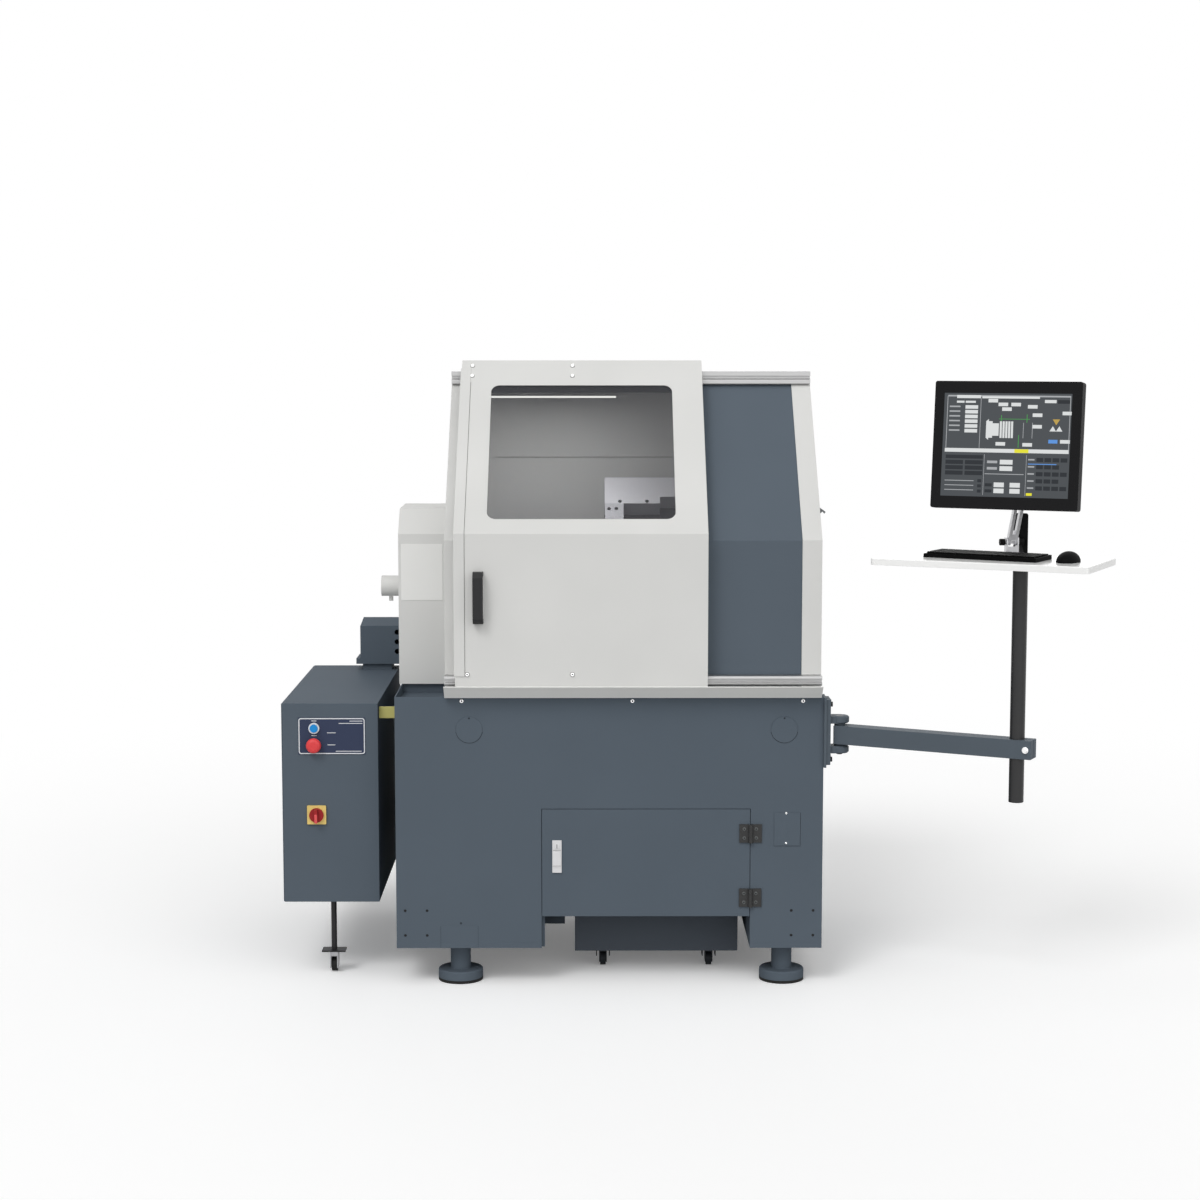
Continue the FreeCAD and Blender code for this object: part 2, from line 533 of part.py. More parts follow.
def front_panel():
    """Folded front sheet behind the posts, with the door's entry cut in it."""
    near = s.shell_sheet
    far = s.shell_sheet + s.panel_sheet
    fold = leaned(s.shell_front, deck, s.shell_bend, slope_reach, near, far)
    panel = profile("YZ", fold, s.shell_left + s.shell_sheet, shell_width - 2 * s.shell_sheet)
    left = s.shell_left + s.left_post
    wide = entry_right - left
    upright = block(left, s.shell_front - s.cutter / 3, s.sill_top, wide, s.cutter,
                    s.shell_bend - s.sill_top)
    leaning = group(block(0, -s.cutter / 3, -s.cutter / 2, wide, entry_slope + s.cutter / 3,
                          s.cutter))
    place(leaning, left, s.shell_front, s.shell_bend, roll=s.slant)
    node("front_panel", cut(panel, upright, leaning))


def door_rails():
    """Grooved square rail on the roof's front edge and the rounded guide above the ledge."""
    low = s.shell_top
    front = s.shell_front + slope_reach * cosine(s.slant) - s.rail_overhang
    mid = low + s.rail_size / 2
    lip = 3
    top_outline = [(front, low), (front, mid - s.groove / 2 - lip),
                   (front + lip, mid - s.groove / 2),
                   (front + s.groove_depth, mid - s.groove / 2),
                   (front + s.groove_depth, mid + s.groove / 2),
                   (front, mid + s.groove / 2), (front, low + s.rail_size),
                   (front + s.rail_size, low + s.rail_size), (front + s.rail_size, low)]
    back = s.shell_front
    face = back - s.guide_depth
    level = s.guide_low + s.guide_tall / 2
    bevel = 4
    low_outline = [(face + bevel, s.guide_low), (face, s.guide_low + bevel),
                   (face, level - s.groove / 2), (face + s.groove_depth, level - s.groove / 2),
                   (face + s.groove_depth, level + s.groove / 2), (face, level + s.groove / 2),
                   (face, s.guide_low + s.guide_tall - bevel),
                   (face + bevel, s.guide_low + s.guide_tall),
                   (back, s.guide_low + s.guide_tall), (back, s.guide_low)]
    node("door_rails", group(profile("YZ", top_outline, s.shell_left, shell_width),
                             profile("YZ", low_outline, s.shell_left, shell_width)))


def headstock_cover():
    """Sheet cover over the belt drive, with the bar pipe and its drain stub on the left."""
    def outline(inset, low):
        """The cover's section; its corners move in so that the sheet stays one thickness."""
        return [(s.hood_front + inset, low), (s.hood_front + inset, s.hood_bend - inset * 0.41),
                (s.hood_front + s.hood_shoulder + inset * 0.41, s.hood_top - inset),
                (s.hood_ridge - inset * 0.12, s.hood_top - inset),
                (s.hood_back - inset, s.hood_bend - inset * 0.79), (s.hood_back - inset, low)]
    wide = s.shell_left + s.hood_lap
    shell = profile("YZ", outline(Length(0), s.base_top), -s.hood_lap, wide)
    hollow = profile("YZ", outline(s.hood_sheet, s.base_top - 1), s.hood_sheet - s.hood_lap, wide)
    passage = rod("X", -s.hood_lap - 1, s.spindle_y, s.spindle_z, s.pipe_radius, s.hood_sheet + 2)
    reach = s.pipe_length + s.hood_sheet
    tube = rod("X", -s.pipe_length, s.spindle_y, s.spindle_z, s.pipe_radius, reach)
    bore = rod("X", -s.pipe_length - 1, s.spindle_y, s.spindle_z, s.pipe_radius - s.pipe_wall,
               reach + 2)
    stub_x = -s.pipe_length * 0.58
    stub_low = s.spindle_z - s.pipe_radius - s.stub_drop
    stub = rod("Z", stub_x, s.spindle_y, stub_low, s.stub_radius, s.stub_drop + s.pipe_wall)
    drain = rod("Z", stub_x, s.spindle_y, stub_low - 1, s.stub_radius - 2,
                s.stub_drop + 2 * s.pipe_wall)
    node("headstock_cover", group(cut(shell, hollow, passage), cut(join(tube, stub), bore, drain)))


def light_bar():
    back = s.shell_back - s.shell_sheet
    bar = block(s.light_right - s.light_length, back - s.light_depth, s.shell_top - s.light_drop,
                s.light_length, s.light_depth, s.light_tall)
    node("light_bar", bar)


# ---------------------------------------------------------------- bed and spindle
def slant_bed():
    """Cast bed: a slanted slab on two legs with cross webs, screw bearings and axis drive."""
    foot_y, foot_z = on_slope(s.bed_foot, -s.swing)
    head_y, head_z = on_slope(s.bed_head, -s.swing)
    outline = [(foot_y, deck), (foot_y, foot_z), (head_y, head_z), (s.bed_back, head_z),
               (s.bed_back, deck)]
    near_y, near_z = on_slope(s.cavity_foot, -s.swing - s.bed_wall)
    far_y, far_z = on_slope(s.cavity_head, -s.swing - s.bed_wall)
    hollow = [(near_y, deck - 1), (near_y, near_z), (far_y, far_z), (far_y, deck - 1)]
    long = bed_right - s.bed_left
    casting = cut(profile("YZ", outline, s.bed_left, long),
                  profile("YZ", hollow, s.bed_left - 1, long + 2))
    web = [(near_y, deck), (near_y, near_z), (far_y, far_z), (far_y, deck)]
    webs = [profile("YZ", web, s.bed_left + long * share, s.web_thick) for share in (0.45, 0.72)]
    bearing_low = s.screw_y - s.bearing_wide / 2
    bearing_tall = saddle_low - s.gap + s.swing
    ends = [block(x, bearing_low, -s.swing, s.bearing_long, s.bearing_wide, bearing_tall)
            for x in (s.screw_left, screw_right - s.bearing_long)]
    drive = block(screw_right, s.screw_y - s.drive_wide / 2, -s.swing, s.drive_long,
                  s.drive_wide, s.drive_wide)
    seat = rod("X", s.screw_left - 1, s.screw_y, screw_z, s.screw_radius + s.fit,
               screw_right - s.screw_left + 1)
    supports = cut(join(*ends, drive), seat)
    place(supports, 0, s.spindle_y, s.spindle_z, roll=s.slant)
    node("slant_bed", join(casting, *webs, supports))


def bed_ways():
    half = s.way_width / 2
    long = way_right - s.way_left
    ways = [block(s.way_left, y - half, -s.swing, long, s.way_width, s.way_height)
            for y in (s.low_way, s.high_way)]
    slope_node("bed_ways", group(*ways))


def carriage_screw():
    length = screw_right - s.screw_left - s.gap
    slope_node("carriage_screw", rod("X", s.screw_left, s.screw_y, screw_z, s.screw_radius, length))


def headstock():
    """Cast headstock that stands square to the bed, bored for the spindle."""
    foot = s.headstock_foot
    crown = s.headstock_crown
    half = [(foot, -s.swing), (foot, 26 - s.swing), (foot * 0.82, 44 - s.swing),
            (crown, crown * 0.45), (crown * 0.55, crown)]
    outline = half + [(-y, z) for y, z in reversed(half)]
    body = profile("YZ", outline, s.bed_left, s.headstock_right - s.bed_left,
                   [(Length(0), Length(0), s.spindle_radius + s.fit)])
    slope_node("headstock", body)


def spindle():
    """Hollow spindle: tail for the pulley, journal, and the nose that carries the chuck."""
    nose = s.headstock_right + s.gap
    outline = [(s.spindle_left, s.spindle_bore), (s.spindle_left, s.spindle_tail_radius),
               (s.bed_left, s.spindle_tail_radius), (s.bed_left, s.spindle_radius),
               (nose, s.spindle_radius), (nose, s.nose_radius), (s.nose_right, s.nose_radius),
               (s.nose_right, s.spindle_bore)]
    node("spindle", turned(outline, "X"), 0, s.spindle_y, s.spindle_z)


def grooved(radius):
    """Outer points of a ribbed pulley rim, from left to right."""
    rib = s.pulley_width / 5
    points = []
    for index in range(5):
        left = s.pulley_left + rib * index
        points += [(left, radius), (left + rib * 0.55, radius),
                   (left + rib * 0.75, radius - s.belt_groove)]
    return points + [(s.pulley_left + s.pulley_width, radius)]


def pulleys():
    right = s.pulley_left + s.pulley_width
    big = [(s.pulley_left, s.spindle_tail_radius)] + grooved(s.spindle_pulley_radius)
    node("spindle_pulley", turned(big + [(right, s.spindle_tail_radius)], "X"),
         0, s.spindle_y, s.spindle_z)
    end = s.bed_left + s.shaft_seat - s.gap
    small = [(s.pulley_left, Length(0))] + grooved(s.motor_pulley_radius)
    small += [(right, s.shaft_radius), (end, s.shaft_radius), (end, Length(0))]
    node("motor_pulley", turned(small, "X"), 0, s.motor_y, s.motor_z)


def spindle_motor():
    """Flanged motor under the bed, on a foot that stands on the tray."""
    left = s.bed_left
    right = left + s.motor_length
    flange = s.motor_flange
    barrel = s.motor_radius - s.motor_step
    outline = [(left, s.shaft_radius + s.fit), (left, s.motor_radius),
               (left + flange, s.motor_radius), (left + flange, barrel),
               (right - s.motor_bell, barrel), (right, s.motor_radius - s.motor_taper),
               (right, Length(0)), (left + s.shaft_seat, Length(0)),
               (left + s.shaft_seat, s.shaft_radius + s.fit)]
    body = place(turned(outline, "X"), 0, s.motor_y, s.motor_z)
    foot = block(left + flange, s.motor_y - s.motor_foot_wide / 2, deck, s.motor_foot_long,
                 s.motor_foot_wide, s.motor_z - s.motor_radius * 0.75 - deck)
    node("spindle_motor", join(body, foot))


def drive_belt():
    """Flat loop round both pulleys, a running gap off their rims."""
    from_y, from_z = float(s.spindle_y), float(s.spindle_z)
    to_y, to_z = float(s.motor_y), float(s.motor_z)
    apart = math.hypot(to_y - from_y, to_z - from_z)
    heading = math.atan2(to_z - from_z, to_y - from_y)
    left = float(s.pulley_left + s.belt_inset)
    width = float(s.pulley_width - 2 * s.belt_inset)

    def loop(extra):
        big = float(s.spindle_pulley_radius + s.gap) + extra
        small = float(s.motor_pulley_radius + s.gap) + extra
        lean = math.acos((big - small) / apart)

        def spot(y, z, radius, angle):
            return FreeCAD.Vector(left, y + radius * math.cos(angle), z + radius * math.sin(angle))
        up, down = heading + lean, heading - lean
        round_big = Part.Arc(spot(from_y, from_z, big, up),
                             spot(from_y, from_z, big, heading + math.pi),
                             spot(from_y, from_z, big, down))
        round_small = Part.Arc(spot(to_y, to_z, small, down), spot(to_y, to_z, small, heading),
                               spot(to_y, to_z, small, up))
        across = Part.LineSegment(spot(from_y, from_z, big, down), spot(to_y, to_z, small, down))
        back = Part.LineSegment(spot(to_y, to_z, small, up), spot(from_y, from_z, big, up))
        wire = Part.Wire([round_big.toShape(), across.toShape(), round_small.toShape(),
                          back.toShape()])
        return Part.Face(wire).extrude(FreeCAD.Vector(width, 0, 0))
    belt = doc.addObject("Part::Feature", "Belt")
    belt.Shape = loop(float(s.belt_thick)).cut(loop(0.0))
    node("drive_belt", belt)


JAW_ANGLES = (90, 210, 330)


def chuck():
    """Three-jaw chuck: round body with T-slots and the three stepped jaws that run in them."""
    outline = [(s.nose_right, s.chuck_bore), (s.nose_right, s.chuck_radius - 4),
               (s.nose_right + 4, s.chuck_radius), (chuck_face - 4, s.chuck_radius),
               (chuck_face, s.chuck_radius - 4), (chuck_face, s.chuck_bore)]
    body = turned(outline, "X")
    slots = []
    for angle in JAW_ANGLES:
        foot_wide = s.jaw_foot_width + 2 * s.gap
        neck_wide = s.jaw_width + 2 * s.gap
        foot_back = jaw_foot_back - s.gap
        foot = block(foot_back, -foot_wide / 2, 0, s.jaw_foot + 2 * s.gap, foot_wide,
                     s.chuck_radius + 1)
        neck = block(foot_back, -neck_wide / 2, 0, chuck_face - foot_back + 1, neck_wide,
                     s.chuck_radius + 1)
        slots.append(place(join(foot, neck), 0, 0, 0, roll=angle - 90))
    node("chuck_body", cut(body, *slots), 0, s.spindle_y, s.spindle_z)
    tip = chuck_face + s.jaw_reach
    foot_front = jaw_foot_back + s.jaw_foot
    for number, angle in enumerate(JAW_ANGLES, 1):
        steps = [(jaw_foot_back, s.jaw_inner), (tip, s.jaw_inner), (tip, s.jaw_step),
                 (tip - s.jaw_reach / 2, s.jaw_step), (tip - s.jaw_reach / 2, s.jaw_outer),
                 (jaw_foot_back, s.jaw_outer)]
        jaw = profile("XZ", steps, -s.jaw_width / 2, s.jaw_width)
        foot = block(jaw_foot_back, -s.jaw_foot_width / 2, s.jaw_inner, foot_front - jaw_foot_back,
                     s.jaw_foot_width, s.jaw_outer - s.jaw_inner)
        node(f"chuck_jaw_{number}", join(jaw, foot), 0, s.spindle_y, s.spindle_z, roll=angle - 90)


# ---------------------------------------------------------------- carriage
def dovetail(slack):
    """Outline in x and z of the cross slide's dovetail, wider by slack on every side."""
    middle = cross_left + s.cross_width / 2
    half = s.dovetail_base / 2 + slack
    low = saddle_top - slack
    high = saddle_top + s.dovetail_tall + slack
    return [(middle - half, low), (middle + half, low),
            (middle + half + s.dovetail_flare, high), (middle - half - s.dovetail_flare, high)]


def saddle():
    """Carriage plate on four bearing blocks, with the ball nut below and the dovetail on top."""
    plate = block(saddle_left, s.saddle_foot, saddle_low, s.saddle_width,
                  s.saddle_head - s.saddle_foot, s.saddle_thick)
    wing = block(drive_cover_left, s.drive_cover_foot, saddle_low,
                 saddle_left - drive_cover_left, s.saddle_head - s.drive_cover_foot,
                 s.saddle_thick)
    block_low = 3 - s.swing
    blocks = []
    for y in (s.low_way, s.high_way):
        for x in (saddle_left + 10, saddle_left + s.saddle_width - s.block_long - 10):
            shoe = block(x, y - s.block_wide / 2, block_low, s.block_long, s.block_wide,
                         saddle_low - block_low)
            channel = block(x - 1, y - s.way_width / 2 - s.gap, block_low - 1, s.block_long + 2,
                            s.way_width + 2 * s.gap, way_top + s.gap - block_low + 1)
            blocks.append(cut(shoe, channel))
    nut_x = saddle_left + (s.saddle_width - s.nut_long) / 2
    nut = cut(block(nut_x, s.screw_y - s.nut_wide / 2, block_low, s.nut_long, s.nut_wide,
                    saddle_low - block_low),
              rod("X", nut_x - 1, s.screw_y, screw_z, s.screw_radius + s.gap, s.nut_long + 2))
    tail = profile("XZ", dovetail(Length(0)), s.saddle_foot, s.dovetail_head - s.saddle_foot)
    slope_node("saddle", join(plate, wing, *blocks, nut, tail))


def drive_cover():
    """Stepped stainless cover over the cross drive at the saddle's upper end."""
    right = saddle_left + s.saddle_width

    def outline(inset):
        low = s.drive_cover_foot + inset
        return [(drive_cover_left + inset, low), (drive_cover_step_x - inset, low),
                (drive_cover_step_x - inset, low + s.drive_cover_step),
                (right - inset, low + s.drive_cover_step), (right - inset, s.saddle_head - inset),
                (drive_cover_left + inset, s.saddle_head - inset)]
    tall = s.drive_cover_top - saddle_top
    pan = profile("XY", outline(Length(0)), saddle_top, tall)
    hollow = profile("XY", outline(s.drive_cover_sheet), saddle_top - 1,
                     tall + 1 - s.drive_cover_sheet)
    slope_node("drive_cover", cut(pan, hollow))


def cross_slide():
    low = saddle_top + s.gap
    plate = block(cross_left, s.cross_foot, low, s.cross_width, s.cross_long, s.cross_top - low)
    groove = profile("XZ", dovetail(s.gap), s.cross_foot - 1, s.cross_long + 2)
    slope_node("cross_slide", cut(plate, groove))


def tool_post():
    """Square tool post with its clamp screws, and the turning tool on its left side."""
    post = soften(profile("XY", [(post_left, s.post_foot), (post_left + s.post_size, s.post_foot),
                                 (post_left + s.post_size, s.post_foot + s.post_size),
                                 (post_left, s.post_foot + s.post_size)],
                          s.cross_top, s.post_top - s.cross_top), 4, along(0, 0, 1), "Chamfer")
    middle_x = post_left + s.post_size / 2
    middle_y = s.post_foot + s.post_size / 2
    post = join(post, rod("Z", middle_x, middle_y, s.post_top, 16, 14))
    shank_low = s.post_foot - s.tool_overhang
    tip_x = post_left - s.tool_size
    shank = [(tip_x, shank_low), (tip_x + s.tool_size * 0.4, shank_low),
             (post_left, shank_low + s.tool_size * 0.6), (post_left, shank_low + s.tool_long),
             (tip_x, shank_low + s.tool_long)]
    tool = profile("XY", shank, -s.tool_size, s.tool_size)
    slope_node("tool_post", group(post, tool))


# ---------------------------------------------------------------- sliding door
def door_panel():
    """Folded door with side returns, a window cut in its slope and a raised strip on its edge."""
    left, wide = s.door_left, s.door_width
    outer = leaned(s.door_front, s.door_bottom, door_bend, door_slope, Length(0), s.door_return)
    inner = leaned(s.door_front, s.door_bottom - 1, door_bend, door_slope + 1, s.door_sheet,
                   s.door_return + 1)
    pan = cut(profile("YZ", outer, left, wide),
              profile("YZ", inner, left + s.door_sheet, wide - 2 * s.door_sheet))
    window = oblong(window_left, s.window_low, -s.cutter / 2, window_width, window_long, s.cutter,
                    s.window_corner)
    place(window, 0, s.door_front, door_bend, roll=s.slant)
    raised = leaned(s.door_front, s.strip_low, door_bend, strip_slope, -s.strip_thick,
                    s.door_sheet / 2)
    strip = profile("YZ", raised, strip_left, s.strip_width)
    node("door_panel", cut(join(pan, strip), window))


def door_window():
    lap = s.glass_lap
    pane = block(window_left - lap, s.window_low - lap, -s.door_sheet - s.glass_thick,
                 window_width + 2 * lap, window_long + 2 * lap, s.glass_thick)
    node("door_window", pane, 0, s.door_front, door_bend, roll=s.slant)


def door_handle():
    """Moulded bow handle on two feet."""
    face = s.door_front
    out = face - s.handle_out
    low, high = s.handle_low, s.handle_low + s.handle_tall
    bar, bevel = s.handle_bar, s.handle_chamfer
    outline = [(face, low), (out + bevel, low), (out, low + bevel), (out, high - bevel),
               (out + bevel, high), (face, high), (face, high - bar),
               (out + bevel + 2, high - bar), (out + bar, high - bevel - 2),
               (out + bar, low + bevel + 2), (out + bevel + 2, low + bar), (face, low + bar)]
    bow = profile("YZ", outline, handle_left, s.handle_width)
    node("door_handle", soften(bow, 2.5, lambda edge: abs(edge.CenterOfMass.y - (out + face) / 2)
                               > 12 and not along(1, 0, 0)(edge) and edge.CenterOfMass.y < face - 2))


def door_carriers():
    """Upper hangers that hook the rail's groove and lower guides in the bottom rail's groove."""
    rail_front = s.shell_front + slope_reach * cosine(s.slant) - s.rail_overhang
    mid = s.shell_top + s.rail_size / 2
    low, high = s.shell_top + s.carrier_rise, s.shell_top + s.rail_size - s.carrier_rise
    behind = s.door_front + s.door_sheet / sine(s.slant)

    def door_at(z):
        return behind + (z - door_bend) * cosine(s.slant) / sine(s.slant)
    face = rail_front - s.gap
    tongue = s.groove / 2 - s.gap
    hook = rail_front + s.groove_depth - 2
    upper = [(door_at(low), low), (face, low), (face, mid - tongue), (hook, mid - tongue),
             (hook, mid + tongue), (face, mid + tongue), (face, high), (door_at(high), high)]
    guide_face = s.shell_front - s.guide_depth
    level = s.guide_low + s.guide_tall / 2
    back = s.door_front + s.door_sheet
    top = s.guide_low + s.guide_tall + 14
    guide_tip = guide_face + s.groove_depth - 2
    lower = [(back, s.guide_low + 4), (guide_face - s.gap, s.guide_low + 4),
             (guide_face - s.gap, level - tongue), (guide_tip, level - tongue),
             (guide_tip, level + tongue), (guide_face - s.gap, level + tongue),
             (guide_face - s.gap, top), (back, top)]
    places = (carrier_left, carrier_left + s.carrier_pitch)
    node("door_carriers", group(*[profile("YZ", outline, x, s.carrier_long)
                                  for outline in (upper, lower) for x in places]))


# ---------------------------------------------------------------- access door
def access_door():
    left = s.bay_left + s.hatch_gap
    wide = bay_width - 2 * s.hatch_gap
    low = s.access_low + s.hatch_gap
    tall = s.bay_top - s.hatch_gap - low
    rim = s.access_sheet
    pan = block(left, 0, low, wide, s.access_return, tall)
    hollow = block(left + rim, rim, low + rim, wide - 2 * rim, s.access_return, tall - 2 * rim)
    node("access_door", cut(pan, hollow))


def hinge_heights():
    return [(middle - s.hinge_tall / 2, s.hinge_tall / 3) for middle in (s.hinge_high, s.hinge_lower)]


def hinge_leaf(x, wide, low):
    return block(x, -s.hinge_leaf, low, wide, s.hinge_leaf, s.hinge_tall)


def hinges():
    """Black leaf hinges of the access door, and the lugs that the electrical cabinet swings on."""
    leaf = s.hinge_wide / 2 - s.hinge_slack
    fixed, flaps = [], []
    for low, third in hinge_heights():
        pin = rod("Z", hinge_x, -s.hinge_out, low, s.hinge_pin, s.hinge_tall)
        rings = [rod("Z", hinge_x, -s.hinge_out, z, s.knuckle_radius, third - s.gap)
                 for z in (low, low + 2 * third + s.gap)]
        arms = [block(hinge_x, -s.hinge_out, z, s.hinge_slack + 2, s.hinge_out, third - s.gap)
                for z in (low, low + 2 * third + s.gap)]
        plate = hinge_leaf(hinge_x + s.hinge_slack, leaf, low)
        fixed.append(join(pin, *rings, *arms, plate))
        ring = rod("Z", hinge_x, -s.hinge_out, low + third, s.knuckle_radius, third)
        arm = block(hinge_x - s.hinge_slack - 2, -s.hinge_out, low + third, s.hinge_slack + 2,
                    s.hinge_out, third)
        flap = join(ring, arm, hinge_leaf(hinge_x - s.hinge_slack - leaf, leaf, low))
        hole = rod("Z", hinge_x, -s.hinge_out, low + third - 1, s.hinge_pin + s.fit, third + 2)
        flaps.append(cut(flap, hole))
    node("hinge_flaps", group(*flaps))
    lugs = []
    for low in (s.lug_low, s.lug_high):
        pin_x = -s.cabinet_gap / 2
        lug = block(pin_x, lug_y - s.lug_wide / 2, low, s.cabinet_gap / 2, s.lug_wide, s.lug_thick)
        ring = rod("Z", pin_x, lug_y, low, s.lug_wide / 2, s.lug_thick)
        pin = rod("Z", pin_x, lug_y, low, s.lug_pin, 2 * s.lug_thick + 2)
        lugs.append(join(lug, ring, pin))
    node("hinge_leaves", group(*fixed, *lugs))


def latch_lever():
    lever = profile("XZ", [(latch_left, s.latch_low), (latch_left + s.latch_width, s.latch_low),
                           (latch_left + s.latch_width, s.latch_low + s.latch_tall),
                           (latch_left, s.latch_low + s.latch_tall)],
                    -s.gap - s.latch_thick, s.latch_thick)
    node("latch_lever", soften(lever, 1, along(0, 1, 0)))


# ---------------------------------------------------------------- coolant tank
def caster(x, y, top):
    """Plain swivel caster: top plate, fork and wheel in one piece, for the tank's corners."""
    plate = block(x - 22, y - 22, top - 4, 44, 44, 4)
    cheeks = [block(x + side, y - 12, s.wheel_radius - 6, 3, 24 + s.fork_trail, top - s.wheel_radius + 2)
              for side in (-s.wheel_width / 2 - 3, s.wheel_width / 2)]
    wheel = rod("X", x - s.wheel_width / 2, y + s.fork_trail, s.wheel_radius, s.wheel_radius,
                s.wheel_width)
    crown = block(x - s.wheel_width / 2 - 3, y - 12, top - 12, s.wheel_width + 6,
                  24 + s.fork_trail, 8)
    return join(plate, *cheeks, wheel, crown)


def coolant_tank():
    """Open sheet tank with a rear lid that carries the pump, on four casters."""
    wall = s.tank_wall
    tall = s.tank_top - s.tank_bottom
    shell = block(tank_left, s.tank_front, s.tank_bottom, tank_width, s.tank_depth, tall)
    hollow = block(tank_left + wall, s.tank_front + wall, s.tank_bottom + wall,
                   tank_width - 2 * wall, s.tank_depth - 2 * wall, tall)
    lid_front = s.tank_front + s.tank_depth - s.tank_lid
    lid = block(tank_left + wall, lid_front, s.tank_top - wall, tank_width - 2 * wall,
                s.tank_lid - wall, wall)
    pump_x = tank_left + tank_width * 0.7
    pump_y = lid_front + s.tank_lid / 2
    pump = rod("Z", pump_x, pump_y, s.tank_top - wall, s.pump_radius, s.pump_tall)
    stem = rod("Z", pump_x, pump_y, s.tank_bottom + 10, s.pump_radius * 0.6, tall - 10)
    node("coolant_tank", join(cut(shell, hollow), lid, pump, stem))
    corners = [(x, y) for x in (tank_left + s.tank_wheel_inset_x,
                                tank_left + tank_width - s.tank_wheel_inset_x)
               for y in (s.tank_front + s.tank_wheel_inset_y,
                         s.tank_front + s.tank_depth - s.tank_wheel_inset_y - s.fork_trail)]
    node("tank_casters", group(*[caster(x, y, s.tank_bottom) for x, y in corners]))


# ---------------------------------------------------------------- electrical cabinet
def cabinet_shell():
    """Welded cabinet, open on its left side, with the lugs it swings on."""
    wall = s.cabinet_sheet
    left = cabinet_left + s.leaf_sheet + s.gap
    wide = cabinet_right - left
    tall = s.cabinet_top - s.cabinet_bottom
    shell = block(left, s.cabinet_front, s.cabinet_bottom, wide, cabinet_depth, tall)
    hollow = block(left + wall, s.cabinet_front + wall, s.cabinet_bottom + wall,
                   wide - 2 * wall, cabinet_depth - 2 * wall, tall - 2 * wall)
    rim = s.cabinet_rim
    mouth = block(left - 1, s.cabinet_front + rim, s.cabinet_bottom + rim, wall + 2,
                  cabinet_depth - 2 * rim, tall - 2 * rim)
    bores = [rod("Y", x, s.cabinet_front - 1, z, radius + s.gap, wall + 2)
             for x, z, radius in ((s.button_x, s.reset_z, s.button_radius),
                                  (s.button_x, s.stop_z, s.button_radius),
                                  (s.switch_x, s.switch_z, s.knob_shaft))]
    neck_bore = block(s.box_neck_left + s.duct_margin, box_front + s.duct_inset,
                      s.cabinet_top - wall - 1, s.box_neck_wide - 2 * s.duct_margin,
                      s.box_depth - 2 * s.duct_inset, wall + 2)
    pin_x = -s.cabinet_gap / 2
    lugs, lug_bores = [], []
    for low in (s.lug_low + s.lug_thick + s.gap, s.lug_high + s.lug_thick + s.gap):
        lugs.append(block(cabinet_right, lug_y - s.lug_wide / 2, low, pin_x - cabinet_right,
                          s.lug_wide, s.lug_thick))
        lugs.append(rod("Z", pin_x, lug_y, low, s.lug_wide / 2, s.lug_thick))
        lug_bores.append(rod("Z", pin_x, lug_y, low - 1, s.lug_pin + s.fit, s.lug_thick + 2))
    pins = []
    for low in side_hinge_heights():
        pins.append(rod("Z", side_hinge_x(), side_hinge_y(), low, s.side_pin, s.side_knuckle_tall))
        pins.append(rod("Z", side_hinge_x(), side_hinge_y(), low, s.side_knuckle,
                        s.side_knuckle_tall / 2 - s.gap))
        pins.append(block(side_hinge_x(), cabinet_back, low, s.side_knuckle + 4, s.side_knuckle,
                          s.side_knuckle_tall / 2 - s.gap))
    body = cut(shell, hollow, mouth, *bores, neck_bore)
    node("cabinet_shell", cut(join(body, *lugs, *pins), *lug_bores))


def side_hinge_x():
    return cabinet_left + s.side_knuckle


def side_hinge_y():
    return cabinet_back + s.side_knuckle


def side_hinge_heights():
    margin = 60
    return (s.cabinet_bottom + margin, s.cabinet_top - margin - s.side_knuckle_tall)


def cabinet_door():
    """Left side of the cabinet, hung on two knuckle hinges at the rear."""
    rim = s.leaf_rim
    leaf = block(cabinet_left, s.cabinet_front + rim, s.cabinet_bottom + rim, s.leaf_sheet,
                 cabinet_depth - 2 * rim, s.cabinet_top - s.cabinet_bottom - 2 * rim)
    pieces, bores = [leaf], []
    for base in side_hinge_heights():
        low = base + s.side_knuckle_tall / 2
        tall = s.side_knuckle_tall / 2
        pieces.append(rod("Z", side_hinge_x(), side_hinge_y(), low, s.side_knuckle, tall))
        pieces.append(block(cabinet_left, cabinet_back - rim - 2, low, s.leaf_sheet,
                            s.side_knuckle + rim + 2, tall))
        bores.append(rod("Z", side_hinge_x(), side_hinge_y(), low - 1, s.side_pin + s.fit, tall + 2))
    node("cabinet_door", cut(join(*pieces), *bores))


